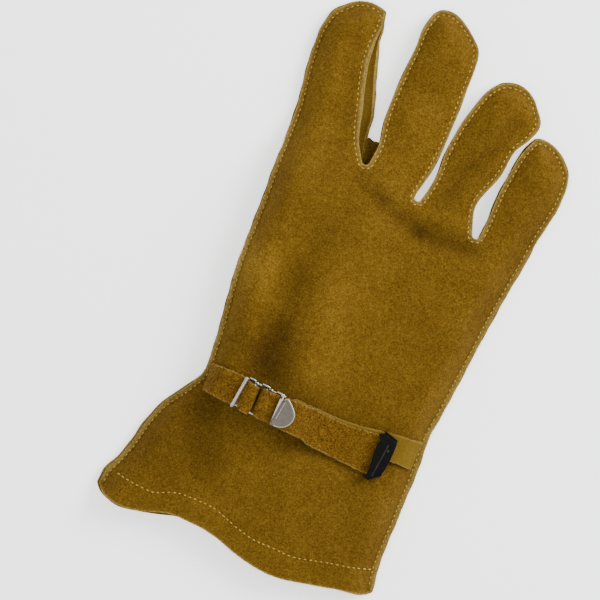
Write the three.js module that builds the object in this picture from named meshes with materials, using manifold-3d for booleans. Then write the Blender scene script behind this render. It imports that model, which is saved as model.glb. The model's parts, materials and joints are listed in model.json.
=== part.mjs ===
// A firefighter's glove in suede leather: right hand, lying palm down with its thumb folded under it.
// Millimetres, +Z up, +Y towards the fingertips, +X towards the little finger.
// While it is built, Y = 0 is the middle of the wrist strap and X = 0 the middle of the palm.
import * as THREE from 'three';
import { mergeVertices } from 'three/addons/utils/BufferGeometryUtils.js';
import Module from 'manifold-3d';

const wasm = await Module();
wasm.setup();

// Leather and seams
const leather = 1.3;            // wall of every glove panel
const seamFlange = 2.4;         // width of the two layers sewn edge to edge, outside the stitches
const pieceGap = 0.3;           // air between two pieces that touch
const flangeHeight = 3;         // how far the palm's edge rises from the surface to the seam
const seamGap = 0.6;            // air between the two layers of a seam, which also slope

// Hand and cuff
const palmWidth = 134;
const handLength = 125;         // middle of the strap to the knuckle line
const cuffLength = 68;          // middle of the strap to the hem's corners
const hemWave = 10.5;           // deepest sag of the hem below its corners
const fingerLoft = 13;          // inside height of a lying finger
const handLoft = 17;
const cuffLoft = 14;
const edgeRound = 15;           // how far in from the seam the back stops curving up
const palmRound = 9;            // the same for the palm side

// Fourchettes, the strips between the fingers
const fourchetteHeight = 9;     // between the back's seam and the palm's, at the crotch
const fourchetteEnd = 3.8;      // the same where a strip ends near a fingertip
const indexRoll = 6;            // the index finger lies rolled, with its strip showing
const crotchWidth = 4;
const stripGap = 0.65;          // air above and below a strip's flanges

// Gunn cut: the fronts of the two middle fingers overlap the palm at their roots
const frontLap = 8;
const lapGap = 0.7;

// Thumb, folded under the palm
const thumbRoom = 12.5;         // height that it lifts the palm by
const thumbWidth = 38;
const thumbLength = 90;
const thumbAcross = -41;        // middle of the thumb
const thumbStart = 14;          // its wrist end
const thumbSeam = 5.4;          // height of its side seam
const thumbholeWidth = 27;
const thumbholeLength = 36;
const thumbRise = 38;           // room that the palm takes to come back down beside the thumb

// Strap and buckle
const strapLeather = 1.5;
const buckleStrapWidth = 14;    // strap inside the buckle, and its pale under layer
const strapWidth = 20;          // upper layer beyond the buckle
const strapDrop = 2.8;          // how far the wide stretch is off the middle, towards the cuff
const strapCinch = 3.5;         // how deep the strap presses into the wrist
const strapTail = 42.5;         // where the folded-back end stops
const strapLean = 3.5;          // how far towards the fingers the strap meets the side seam
const buckleLeft = -39;         // left bar of the buckle
const buckleLength = 25.5;
const barSize = 1.8;
const railSize = 1.6;
const toothLength = 3.4;
const leverLength = 9;
const leverWidth = 18;
const leverPlate = 1.1;
const hingePin = 0.65;          // radius
const hingeTube = 1.45;         // outer radius of the lever's curled edge
const keeperAcross = 40;        // middle of the plastic keeper
const keeperLength = 8;
const keeperWall = 1.6;

// Outline of the hand and cuff, from the hem up. across is a share of palmWidth from the middle;
// along is a share of cuffLength below the strap and of handLength above it.
const handSections = [
  // leftAcross, leftAlong, rightAcross, rightAlong
  [-0.641, -1.000, 0.454, -0.985],
  [-0.631, -0.897, 0.455, -0.912],
  [-0.599, -0.779, 0.442, -0.809],
  [-0.573, -0.632, 0.437, -0.632],
  [-0.556, -0.441, 0.442, -0.441],
  [-0.516, -0.287, 0.440, -0.287],
  [-0.474, -0.110, 0.440, -0.125],
  [-0.435, 0.024, 0.437, 0.024],
  [-0.437, 0.108, 0.433, 0.120],
  [-0.445, 0.216, 0.444, 0.216],
  [-0.463, 0.360, 0.457, 0.360],
  [-0.476, 0.504, 0.471, 0.504],
  [-0.478, 0.640, 0.481, 0.640],
  [-0.481, 0.768, 0.490, 0.782],
  [-0.487, 0.896, 0.509, 0.864],
];

// Points of the knuckle line, from the index finger's outer edge to the little finger's:
// across is a share of palmWidth, along a share of handLength.
const knuckleLine = [
  // across, along
  [-0.491, 1.040],
  [-0.179, 1.041],
  [0.053, 0.987],
  [0.305, 0.937],
  [0.517, 0.928],
];

// Each finger's length runs from its root to its tip. Its sections give both edges, measured from the
// middle of the root: across is a share of the finger's width and along a share of its length.
const fingers = [
  {
    name: 'index', length: 74.5, width: 32, tipRound: 5,
    sections: [
      // leftAcross, leftAlong, rightAcross, rightAlong
      [-0.65, 0.16, 0.42, 0.16],
      [-0.69, 0.32, 0.29, 0.32],
      [-0.73, 0.48, 0.17, 0.48],
      [-0.74, 0.63, 0.08, 0.65],
      [-0.72, 0.76, 0.05, 0.82],
      [-0.63, 0.85, 0.00, 0.965],
    ],
  },
  {
    name: 'middle', length: 89, width: 32.5, tipRound: 5,
    sections: [
      [-0.39, 0.17, 0.51, 0.13],
      [-0.46, 0.31, 0.55, 0.31],
      [-0.47, 0.45, 0.55, 0.46],
      [-0.46, 0.60, 0.54, 0.61],
      [-0.44, 0.75, 0.53, 0.76],
      [-0.44, 0.86, 0.47, 0.86],
      [-0.37, 0.96, 0.31, 0.925],
    ],
  },
  {
    name: 'ring', length: 75.5, width: 32, tipRound: 3.2,
    sections: [
      [-0.39, 0.23, 0.35, 0.16],
      [-0.40, 0.39, 0.53, 0.39],
      [-0.36, 0.57, 0.59, 0.57],
      [-0.27, 0.73, 0.71, 0.72],
      [-0.17, 0.86, 0.72, 0.84],
      [0.00, 0.96, 0.56, 0.94],
    ],
  },
  {
    name: 'little', length: 58.5, width: 29, tipRound: 3,
    sections: [
      [-0.43, 0.20, 0.50, 0.19],
      [-0.43, 0.40, 0.57, 0.38],
      [-0.39, 0.61, 0.62, 0.57],
      [-0.33, 0.80, 0.58, 0.77],
      [-0.20, 0.97, 0.36, 0.91],
    ],
  },
];

// Troughs and swells of the back. Ends are shares of palmWidth and handLength; width and depth are
// shares of handLoft, and a negative depth is a swell.
const folds = [
  // fromAcross, fromAlong, toAcross, toAlong, width, depth
  [-0.15, 0.86, -0.33, 0.25, 0.62, 0.33],
  [-0.33, 0.25, -0.30, 0.05, 0.75, 0.22],
  [-0.08, 0.90, 0.22, 0.74, 0.45, 0.14],
  [0.22, 0.74, 0.36, 0.77, 0.45, 0.12],
  [0.36, 0.62, 0.37, 0.22, 0.50, 0.14],
  [-0.46, -0.30, -0.40, -0.55, 0.55, 0.24],
  [0.00, 0.60, 0.08, 0.20, 0.95, -0.10],
];

// Sag of the hem: across is the share of the way from the left corner to the right one.
const hemSag = [
  // across, share of hemWave
  [0.00, 0.00], [0.10, 0.58], [0.28, 0.10], [0.36, 0.12],
  [0.50, 0.67], [0.67, 1.00], [0.85, 0.55], [1.00, 0.00],
];

const smooth = (low, high, value) => THREE.MathUtils.smoothstep(value, low, high);
const mix = THREE.MathUtils.lerp;

const suede = new THREE.MeshStandardMaterial({ color: 0x9a7426, roughness: 0.95, metalness: 0 });
const suedeEdge = new THREE.MeshStandardMaterial({ color: 0x8c7630, roughness: 0.95, metalness: 0 });
const strapSuede = new THREE.MeshStandardMaterial({ color: 0xa47c2e, roughness: 0.9, metalness: 0 });
const steel = new THREE.MeshStandardMaterial({ color: 0x9c968c, roughness: 0.35, metalness: 1 });
const plastic = new THREE.MeshStandardMaterial({ color: 0x1c1a17, roughness: 0.5, metalness: 0 });


function handPoint(across, along) {
  return new THREE.Vector2(across * palmWidth, along * (along < 0 ? cuffLength : handLength));
}

function spline(points) {
  return new THREE.CatmullRomCurve3(points.map((p) => new THREE.Vector3(p.x, p.y, 0)));
}

function splinePoint(curve, share) {
  const p = curve.getPoint(share);
  return new THREE.Vector2(p.x, p.y);
}

const knuckles = knuckleLine.map(([across, along]) => handPoint(across, along));

// Left and right root of each finger, with a narrow U between neighbours.
const roots = fingers.map((finger, i) => {
  const left = knuckles[i].clone();
  const right = knuckles[i + 1].clone();
  if (i > 0) {
    left.x += crotchWidth / 2;
  }
  if (i < fingers.length - 1) {
    right.x -= crotchWidth / 2;
  }
  return { left, right };
});

// One finger's plan: rows of points, each row running across from edge to edge.
function fingerRows(finger, root) {
  const middle = root.left.clone().lerp(root.right, 0.5);
  const place = (across, along) =>
    new THREE.Vector2(middle.x + across * finger.width, middle.y + along * finger.length);
  const left = spline([root.left, ...finger.sections.map((s) => place(s[0], s[1]))]);
  const right = spline([root.right, ...finger.sections.map((s) => place(s[2], s[3]))]);
  const count = finger.sections.length;
  const shares = [];
  for (let row = 0; row < count; row += 1) {
    shares.push(row / count);
  }
  const [before, last] = finger.sections.slice(-2);
  const lastStep = finger.length * (last[1] + last[3] - before[1] - before[3]) / 2 + finger.tipRound * 0.4;
  shares.push(1 - 1.15 * seamFlange / (lastStep * count));
  shares.push(1);
  return shares.map((share) => {
    const a = splinePoint(left, share);
    const b = splinePoint(right, share);
    const width = a.distanceTo(b);
    const up = new THREE.Vector2(a.y - b.y, b.x - a.x).normalize();
    const arch = finger.tipRound * smooth(0.6, 1, share);
    const rim = seamFlange / width;
    return [0, rim, 0.34, 0.66, 1 - rim, 1].map((u) =>
      a.clone().lerp(b, u).addScaledVector(up, arch * 4 * u * (1 - u)));
  });
}

const plans = fingers.map((finger, i) => fingerRows(finger, roots[i]));
const knuckleRow = plans.flatMap((rows) => rows[0]);

function hemDrop(share) {
  let i = 1;
  while (i < hemSag.length - 1 && hemSag[i][0] < share) {
    i += 1;
  }
  const [x0, y0] = hemSag[i - 1];
  const [x1, y1] = hemSag[i];
  return hemWave * mix(y0, y1, smooth(x0, x1, share));
}

// The hand's rows keep the knuckle line's spacing, and take its dips at the crotches near the top.
function handRows() {
  const first = knuckleRow[0];
  const last = knuckleRow[knuckleRow.length - 1];
  const span = last.x - first.x;
  const rows = handSections.map(([la, ll, ra, rl]) => {
    const a = handPoint(la, ll);
    const b = handPoint(ra, rl);
    const height = (a.y + b.y) / 2;
    const dip = smooth(0.45, 1, height / handLength);
    const sag = smooth(cuffLength * 0.45, cuffLength, -height);
    return knuckleRow.map((knuckle, i) => {
      const share = (knuckle.x - first.x) / span;
      const p = a.clone().lerp(b, share);
      if (i === 1) {
        p.copy(a).addScaledVector(b.clone().sub(a).normalize(), seamFlange);
      }
      if (i === knuckleRow.length - 2) {
        p.copy(b).addScaledVector(a.clone().sub(b).normalize(), seamFlange);
      }
      p.y += dip * (knuckle.y - mix(first.y, last.y, share)) - sag * hemDrop(share);
      return p;
    });
  });
  rows.push(knuckleRow);
  return rows;
}

const hand = handRows();

// The seamed outline, hem left out, as short pieces that know how high the strip between the fingers is.
const seams = [];

function wallHeight(fingerIndex, side, row) {
  const outer = (fingerIndex === 0 && side === 0) || (fingerIndex === fingers.length - 1 && side === 5);
  const rows = plans[fingerIndex].length - 1;
  if (outer || row === rows) {
    return 0;
  }
  return mix(fourchetteHeight, fourchetteEnd, row / (rows - 1));
}

function addSeam(a, b, wallA, wallB) {
  seams.push({ a, b, wallA, wallB });
}

hand.slice(1).forEach((row, i) => {
  addSeam(hand[i][0], row[0], 0, 0);
  addSeam(hand[i][row.length - 1], row[row.length - 1], 0, 0);
});
plans.forEach((rows, f) => {
  for (const side of [0, 5]) {
    for (let row = 1; row < rows.length; row += 1) {
      addSeam(rows[row - 1][side], rows[row][side],
        wallHeight(f, side, row - 1), wallHeight(f, side, row));
    }
  }
  const tip = rows[rows.length - 1];
  for (let i = 1; i < tip.length; i += 1) {
    addSeam(tip[i - 1], tip[i], 0, 0);
  }
  if (f > 0) {
    addSeam(roots[f - 1].right, roots[f].left, fourchetteHeight, fourchetteHeight);
  }
});

// Distance from a point to the nearest seam, and the strip's height there. Where two seams are about as
// near, the one with the higher strip counts.
function nearestSeam(p, list = seams) {
  let nearest = Infinity;
  let cost = Infinity;
  let wall = 0;
  for (const { a, b, wallA, wallB } of list) {
    const length = Math.max(a.distanceToSquared(b), 1e-9);
    const share = THREE.MathUtils.clamp(
      ((p.x - a.x) * (b.x - a.x) + (p.y - a.y) * (b.y - a.y)) / length, 0, 1);
    const distance = Math.hypot(p.x - mix(a.x, b.x, share), p.y - mix(a.y, b.y, share));
    const height = mix(wallA, wallB, share);
    nearest = Math.min(nearest, distance);
    if (distance - 0.5 * height < cost) {
      cost = distance - 0.5 * height;
      wall = height;
    }
  }
  return { distance: nearest, wall };
}

// 0 on the seam's flange, 1 past the round of the edge.
function edgeRise(distance, round) {
  const share = THREE.MathUtils.clamp((distance - seamFlange) / (round - seamFlange), 0, 1);
  return 1 - (1 - share) ** 2.2;
}


const thumbSections = [
  // along as a share of thumbLength, half width as a share of thumbWidth, sideways as a share of thumbWidth
  [0.00, 0.20, 0.02],
  [0.03, 0.37, 0.02],
  [0.10, 0.47, 0.01],
  [0.22, 0.50, 0.00],
  [0.36, 0.50, 0.00],
  [0.50, 0.49, 0.00],
  [0.64, 0.47, -0.01],
  [0.78, 0.43, -0.03],
  [0.90, 0.35, -0.04],
  [0.97, 0.23, -0.05],
];
const thumbTip = 3;

const thumbholeMiddle = thumbStart + thumbholeLength * 0.555 + seamFlange;

// The thumb's upper piece starts under the front rim of the hole.
const thumbCover = thumbholeMiddle + thumbholeLength / 2 - seamFlange * 1.42;

function thumbRow([along, half, side], i, list) {
  const rim = seamFlange / (2 * half * thumbWidth);
  const end = i === 0 ? -1 : i === list.length - 1 ? 1 : 0;
  return [0, rim, 0.36, 0.64, 1 - rim, 1].map((u) => new THREE.Vector2(
    thumbAcross + (side + (2 * u - 1) * half) * thumbWidth,
    thumbStart + along * thumbLength + end * thumbTip * 4 * u * (1 - u)));
}

const thumbRows = thumbSections.map(thumbRow);
const coverRow = thumbRows.findIndex((row) => row[0].y > thumbCover);
const coverShare = (thumbCover - thumbRows[coverRow - 1][0].y)
  / (thumbRows[coverRow][0].y - thumbRows[coverRow - 1][0].y);
thumbRows.splice(coverRow, 0,
  thumbRows[coverRow - 1].map((p, i) => p.clone().lerp(thumbRows[coverRow][i], coverShare)));
const thumbOutline = [];
thumbRows.forEach((row, i) => {
  if (i > 0) {
    thumbOutline.push({ a: thumbRows[i - 1][0], b: row[0], wallA: 0, wallB: 0 });
    thumbOutline.push({ a: thumbRows[i - 1][5], b: row[5], wallA: 0, wallB: 0 });
  }
  if (i === 0 || i === thumbRows.length - 1) {
    for (let k = 1; k < row.length; k += 1) {
      thumbOutline.push({ a: row[k - 1], b: row[k], wallA: 0, wallB: 0 });
    }
  }
});

// How far a point is outside the thumb, or 0 inside it.
function outsideThumb(p) {
  const along = THREE.MathUtils.clamp((p.y - thumbStart) / thumbLength, 0, 1);
  const reach = Math.max(Math.abs(p.x - thumbAcross) - thumbWidth / 2, 0);
  const past = (p.y - thumbStart - along * thumbLength);
  return Math.hypot(reach, past);
}

// Height of the palm's underside: it lies on the surface and on the thumb.
function floorHeight(p) {
  const margin = thumbTip;
  return thumbRoom * (1 - smooth(margin, margin + thumbRise, outsideThumb(p)));
}


const palmTop = (p) =>
  floorHeight(p) + leather + flangeHeight * (1 - edgeRise(nearestSeam(p).distance, palmRound));

function foldDepth(p) {
  let depth = strapCinch * Math.exp(-((p.y / (strapWidth * 0.75)) ** 2));
  for (const [xa, ya, xb, yb, width, share] of folds) {
    const a = handPoint(xa, ya);
    const b = handPoint(xb, yb);
    const t = THREE.MathUtils.clamp(
      ((p.x - a.x) * (b.x - a.x) + (p.y - a.y) * (b.y - a.y)) / a.distanceToSquared(b), 0, 1);
    const away = Math.hypot(p.x - mix(a.x, b.x, t), p.y - mix(a.y, b.y, t));
    depth += share * handLoft * Math.exp(-((away / (width * handLoft)) ** 2));
  }
  return depth;
}

// Underside of the back panel.
function backUnder(p) {
  const seam = nearestSeam(p);
  const edge = floorHeight(p) + leather + flangeHeight + seamGap + seam.wall;
  const towardsFingers = smooth(handLength * 0.75, handLength * 1.1, p.y);
  const towardsHem = smooth(0, cuffLength, -p.y);
  const loft = mix(mix(handLoft, cuffLoft, towardsHem), fingerLoft, towardsFingers);
  const deepest = edge - floorHeight(p) + 1;
  const inner = floorHeight(p) + Math.max(loft - foldDepth(p), deepest);
  return mix(edge, inner, edgeRise(seam.distance, edgeRound));
}


// A closed sheet of leather: grids of points share their joined edges, the other face lies a wall away.
function sheet(points, faces, thickness) {
  const normals = points.map(() => new THREE.Vector3());
  for (const [a, b, c] of faces) {
    const ab = points[b].clone().sub(points[a]);
    const ac = points[c].clone().sub(points[a]);
    const normal = ab.cross(ac);
    for (const i of [a, b, c]) {
      normals[i].add(normal);
    }
  }
  const count = points.length;
  const other = points.map((p, i) => p.clone().addScaledVector(normals[i].normalize(), thickness));
  const index = [];
  const edges = new Map();
  for (const [a, b, c] of faces) {
    index.push(a, c, b, a + count, b + count, c + count);
    for (const [from, to] of [[a, b], [b, c], [c, a]]) {
      if (!edges.delete(`${to},${from}`)) {
        edges.set(`${from},${to}`, [from, to]);
      }
    }
  }
  for (const [from, to] of edges.values()) {
    index.push(from, to, to + count, from, to + count, from + count);
  }
  const positions = [...points, ...other].flatMap((p) => [p.x, p.y, p.z]);
  const geometry = new THREE.BufferGeometry();
  geometry.setAttribute('position', new THREE.Float32BufferAttribute(positions, 3));
  geometry.setIndex(index);
  return geometry;
}

// Joins grids of plan points into one list of points and upward faces. Points in the same place are shared.
function joinGrids(grids) {
  const points = [];
  const faces = [];
  const known = new Map();
  const pointIndex = (p) => {
    const key = `${p.x.toFixed(3)},${p.y.toFixed(3)}`;
    if (!known.has(key)) {
      known.set(key, points.length);
      points.push(p);
    }
    return known.get(key);
  };
  for (const rows of grids) {
    for (let r = 1; r < rows.length; r += 1) {
      for (let c = 1; c < rows[r].length; c += 1) {
        const a = pointIndex(rows[r - 1][c - 1]);
        const b = pointIndex(rows[r - 1][c]);
        const d = pointIndex(rows[r][c]);
        const e = pointIndex(rows[r][c - 1]);
        if ((r + c) % 2) {
          faces.push([a, b, d], [a, d, e]);
        } else {
          faces.push([a, b, e], [b, d, e]);
        }
      }
    }
  }
  return { points, faces };
}

function panel(grids, height, thickness) {
  const { points, faces } = joinGrids(grids);
  return sheet(points.map((p) => new THREE.Vector3(p.x, p.y, height(p))), faces, thickness);
}


function solidOf(geometry) {
  const bare = new THREE.BufferGeometry();
  bare.setAttribute('position', geometry.getAttribute('position').clone());
  if (geometry.index) {
    bare.setIndex(geometry.index.clone());
  }
  const merged = mergeVertices(bare, 1e-4);
  return new wasm.Manifold(new wasm.Mesh({
    numProp: 3,
    vertProperties: new Float32Array(merged.getAttribute('position').array),
    triVerts: new Uint32Array(merged.index.array),
  }));
}

function geometryOf(solid) {
  const mesh = solid.getMesh();
  const geometry = new THREE.BufferGeometry();
  geometry.setAttribute('position', new THREE.Float32BufferAttribute(mesh.vertProperties, 3));
  geometry.setIndex(Array.from(mesh.triVerts));
  return geometry;
}

const unite = (list) => geometryOf(list.map(solidOf).reduce((a, b) => a.add(b)));
const cut = (geometry, cutter) => geometryOf(solidOf(geometry).subtract(solidOf(cutter)));


function backPanel() {
  return panel([hand, ...plans], backUnder, leather);
}

const lapRow = hand.length - 2;

// The palm side of the index finger is wider on its inner side, as the finger lies rolled.
function rolled(rows) {
  const last = rows.length - 1;
  return rows.map((row, r) => row.map((p, c) => {
    const share = [0, 0.1, 0.34, 0.66, 1, 1][c];
    return new THREE.Vector2(p.x + indexRoll * share * Math.sin(Math.PI * (r / last)), p.y);
  }));
}

const indexPalm = rolled(plans[0]);
const rolledSeams = indexPalm.slice(1).flatMap((row, i) => [
  { a: indexPalm[i][0], b: row[0], wallA: 0, wallB: 0 },
  { a: indexPalm[i][5], b: row[5], wallA: 0, wallB: 0 },
]);

// The palm's height on the index finger follows the rolled outline.
function indexPalmTop(p) {
  const distance = nearestSeam(p, rolledSeams).distance;
  const tip = nearestSeam(p).distance;
  const near = p.y > roots[0].left.y + fingers[0].length * 0.8 ? Math.min(tip, distance) : distance;
  return floorHeight(p) + leather + flangeHeight * (1 - edgeRise(near, palmRound));
}

const palmSide = (p) => (p.onIndex ? indexPalmTop(p) : palmTop(p));

function palmPanel() {
  const columns = 6;
  const lastColumn = knuckleRow.length - 1;
  indexPalm.slice(1).flat().forEach((p) => {
    p.onIndex = true;
  });
  const lower = hand.slice(0, lapRow + 1);
  const left = hand.slice(lapRow).map((row) => row.slice(0, columns));
  const right = hand.slice(lapRow).map((row) => row.slice(lastColumn + 1 - columns));
  const whole = panel([lower, left, right, [knuckleRow.slice(0, columns), ...indexPalm.slice(1)], plans[3]],
    (p) => palmSide(p) - leather, leather);
  const hole = new THREE.CylinderGeometry(1, 1, 4 * thumbRoom, 20);
  hole.rotateX(Math.PI / 2);
  hole.scale(thumbholeWidth / 2, thumbholeLength / 2, 1);
  hole.translate(thumbAcross, thumbholeMiddle, thumbRoom);
  return cut(whole, hole);
}

// Fronts of the middle and ring fingers, lapped inside the palm's upper edge.
function fingerFront() {
  const inset = pieceGap * 2;
  const [first, last] = [5, 18];
  const lapStart = hand[lapRow].map((p) => new THREE.Vector2(p.x, p.y - frontLap / 2));
  const rows = [lapStart, hand[lapRow], knuckleRow].map((row) =>
    row.slice(first, last + 1).map((p) => p.clone()));
  for (const row of rows) {
    row[0].x += inset;
    row[row.length - 1].x -= inset;
  }
  const lift = (p) => (leather + lapGap) * (1 - smooth(0, 1, (p.y - lapEnd) / (knuckles[3].y - lapEnd)));
  return panel([rows, plans[1], plans[2]], (p) => palmTop(p) - leather + lift(p), leather);
}

const lapEnd = Math.max(...hand[lapRow].slice(5, 19).map((p) => p.y));

// A strip between two fingers: flange under the back, wall, flange on the palm, round the crotch.
function fourchette(f) {
  const leftRows = plans[f];
  const rightRows = plans[f + 1];
  const palmRows = f === 0 ? indexPalm : plans[f];
  const stations = [];
  const add = (top, bottom, inner, wall) => stations.push({ top, bottom, inner, wall });
  const endShare = 0.12;
  const sideStation = (rows, lowerRows, finger, edge, row) => {
    const inward = edge === 5 ? 4 : 1;
    const at = (list) => {
      const r = Math.floor(row);
      return list[r][edge].clone().lerp(list[Math.min(r + 1, list.length - 1)][edge], row - r);
    };
    const r = Math.round(row);
    const r0 = Math.floor(row);
    const wall = mix(wallHeight(finger, edge, r0), wallHeight(finger, edge, r0 + 1), row - r0);
    add(at(rows), at(lowerRows), rows[r][inward].clone().sub(rows[r][edge]).normalize(), wall);
  };
  const span = (rows) => {
    const steps = [...Array(rows.length - 3).keys()].map((i) => i + 1);
    return [...steps, rows.length - 3 + endShare];
  };
  for (const row of span(leftRows).reverse()) {
    sideStation(leftRows, palmRows, f, 5, row);
  }
  const down = new THREE.Vector2(0, -1);
  add(roots[f].right, roots[f].right, new THREE.Vector2(-1, -0.5).normalize(), fourchetteHeight);
  const crotch = roots[f].right.clone().lerp(roots[f + 1].left, 0.5);
  crotch.y -= crotchWidth * 0.1;
  add(crotch, crotch, down, fourchetteHeight);
  add(roots[f + 1].left, roots[f + 1].left, new THREE.Vector2(1, -0.5).normalize(), fourchetteHeight);
  for (const row of span(rightRows)) {
    sideStation(rightRows, rightRows, f + 1, 0, row);
  }
  const outer = pieceGap * 0.8;
  const rings = stations.map(({ top, bottom, inner, wall }) => {
    const low = (p) => floorHeight(p) + leather + flangeHeight + stripGap;
    const high = (p) => floorHeight(p) + leather + flangeHeight + seamGap + wall - stripGap;
    const halfway = (p) => (low(p) + high(p)) / 2;
    const profile = [
      // inset from the edge, share of the way from the palm's edge to the back's, height there
      [outer, 1, high],
      [seamFlange + leather, 1, high],
      [seamFlange + leather * 0.9, 0.5, halfway],
      [seamFlange + leather, 0, low],
      [outer, 0, low],
      [outer, 0, (p) => low(p) + leather],
      [seamFlange, 0, (p) => low(p) + leather],
      [seamFlange - leather * 0.1, 0.5, halfway],
      [seamFlange, 1, (p) => high(p) - leather],
      [outer, 1, (p) => high(p) - leather],
    ];
    return profile.map(([inset, share, height]) => {
      const p = bottom.clone().lerp(top, share).addScaledVector(inner, inset);
      return new THREE.Vector3(p.x, p.y, height(p));
    });
  });
  return loft(rings);
}

// A closed body through rings of as many points each. The first half of a ring runs along one face of
// the wall and the second half comes back along the other, so each end is filled by a row of quads.
function loft(rings) {
  const size = rings[0].length;
  const index = [];
  for (let r = 1; r < rings.length; r += 1) {
    for (let i = 0; i < size; i += 1) {
      const j = (i + 1) % size;
      const a = (r - 1) * size + i;
      const b = (r - 1) * size + j;
      const c = r * size + j;
      const d = r * size + i;
      index.push(a, b, c, a, c, d);
    }
  }
  for (let i = 1; i < size / 2; i += 1) {
    const quad = [i - 1, i, size - 1 - i, size - i];
    const end = quad.map((k) => k + (rings.length - 1) * size);
    index.push(quad[0], quad[2], quad[1], quad[0], quad[3], quad[2]);
    index.push(end[0], end[1], end[2], end[0], end[2], end[3]);
  }
  const positions = rings.flat().flatMap((p) => [p.x, p.y, p.z]);
  const geometry = new THREE.BufferGeometry();
  geometry.setAttribute('position', new THREE.Float32BufferAttribute(positions, 3));
  geometry.setIndex(index);
  return outward(geometry);
}

// Turns all faces round if the body's volume comes out negative.
function outward(geometry) {
  const p = geometry.getAttribute('position');
  const index = Array.from(geometry.index.array);
  const [a, b, c] = [new THREE.Vector3(), new THREE.Vector3(), new THREE.Vector3()];
  let volume = 0;
  for (let i = 0; i < index.length; i += 3) {
    a.fromBufferAttribute(p, index[i]);
    b.fromBufferAttribute(p, index[i + 1]);
    c.fromBufferAttribute(p, index[i + 2]);
    volume += a.dot(b.cross(c));
  }
  if (volume < 0) {
    for (let i = 0; i < index.length; i += 3) {
      [index[i + 1], index[i + 2]] = [index[i + 2], index[i + 1]];
    }
    geometry.setIndex(index);
  }
  return geometry;
}

// The thumb is a flattened tube of two pieces, seamed round its edge and open into the palm at its root.
// Top of the lower piece's flange: under the palm round the hole, at mid-height further on.
function thumbFlange(p) {
  const high = thumbRoom - pieceGap * 1.5;
  const mid = mix(high - leather - pieceGap, thumbSeam,
    smooth(thumbCover, thumbCover + thumbLength * 0.3, p.y));
  return mix(high, mid, smooth(thumbCover - seamFlange * 2, thumbCover - pieceGap, p.y));
}

function thumbFront() {
  const under = (p) => {
    const rise = edgeRise(nearestSeam(p, thumbOutline).distance, palmRound);
    return mix(thumbFlange(p) - leather, 0, rise);
  };
  return panel([thumbRows], under, leather);
}

function thumbBack() {
  const top = thumbRoom - 2 * pieceGap;
  const under = (p) => {
    const rise = edgeRise(nearestSeam(p, thumbOutline).distance, palmRound);
    return mix(thumbFlange(p) + pieceGap, top - leather, rise);
  };
  return panel([thumbRows.slice(coverRow)], under, leather);
}

// Height of a mesh's top under a point, from straight above.
const back = backPanel();
const backMesh = new THREE.Mesh(back, new THREE.MeshBasicMaterial({ side: THREE.DoubleSide }));
function topOf(x, y) {
  const ray = new THREE.Raycaster(new THREE.Vector3(x, y, handLength), new THREE.Vector3(0, 0, -1));
  const hits = ray.intersectObject(backMesh);
  return hits.length ? hits[0].point.z : 0;
}

// Highest point of the back under a stretch of the strap.
function under(x, reach, low, high) {
  let z = 0;
  for (let i = -1; i <= 1; i += 1) {
    for (let k = 0; k <= 4; k += 1) {
      z = Math.max(z, topOf(x + i * reach, mix(low, high, k / 4)));
    }
  }
  return z;
}

// A strip of leather that follows a line of stations: x, z, and its two edges in y.
function strip(stations, thickness) {
  const rings = stations.map((s, i) => {
    const a = stations[Math.max(i - 1, 0)];
    const b = stations[Math.min(i + 1, stations.length - 1)];
    const across = new THREE.Vector2(b.x - a.x, b.z - a.z).normalize().multiplyScalar(thickness / 2);
    return [[1, s.low], [1, s.high], [-1, s.high], [-1, s.low]].map(([side, y]) =>
      new THREE.Vector3(s.x - side * across.y, y, s.z + side * across.x));
  });
  return loft(rings);
}

const strapHalf = buckleStrapWidth / 2;
const wideLow = -strapWidth / 2 - strapDrop;
const wideHigh = strapWidth / 2 - strapDrop;
const buckleRight = buckleLeft + buckleLength;
const tabBar = buckleLeft + buckleLength * 0.27;
const strapBar = tabBar + barSize + 2 * strapLeather + 5 * pieceGap;
const leftSeam = handPoint(handSections[7][0], 0).x + seamFlange * 1.4;
const rightSeam = handPoint(handSections[7][2], 0).x - seamFlange * 1.4;
const bend = barSize / 2 + pieceGap + strapLeather / 2;
const railOuter = strapHalf + pieceGap + railSize;

// The buckle lies level on the highest leather below it.
let buckleBase = 0;
for (let i = 0; i <= 6; i += 1) {
  const x = mix(buckleLeft - barSize, buckleRight + barSize, i / 6);
  buckleBase = Math.max(buckleBase, under(x, barSize / 2, -railOuter, railOuter));
}
const underLayer = buckleBase + pieceGap + strapLeather / 2;
const barHeight = underLayer + bend;
const overLayer = barHeight + bend;
const keeperStart = keeperAcross - keeperLength / 2;
const keeperEnd = keeperAcross + keeperLength / 2;

// Arc of leather round a bar, from one side angle to the other.
function arcRound(x, z, from, to) {
  const stations = [];
  for (let i = 0; i <= 6; i += 1) {
    const angle = mix(from, to, i / 6);
    const reach = { x: x + bend * Math.cos(angle), z: z + bend * Math.sin(angle) };
    stations.push({ ...reach, low: -strapHalf, high: strapHalf });
  }
  return stations;
}

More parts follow.
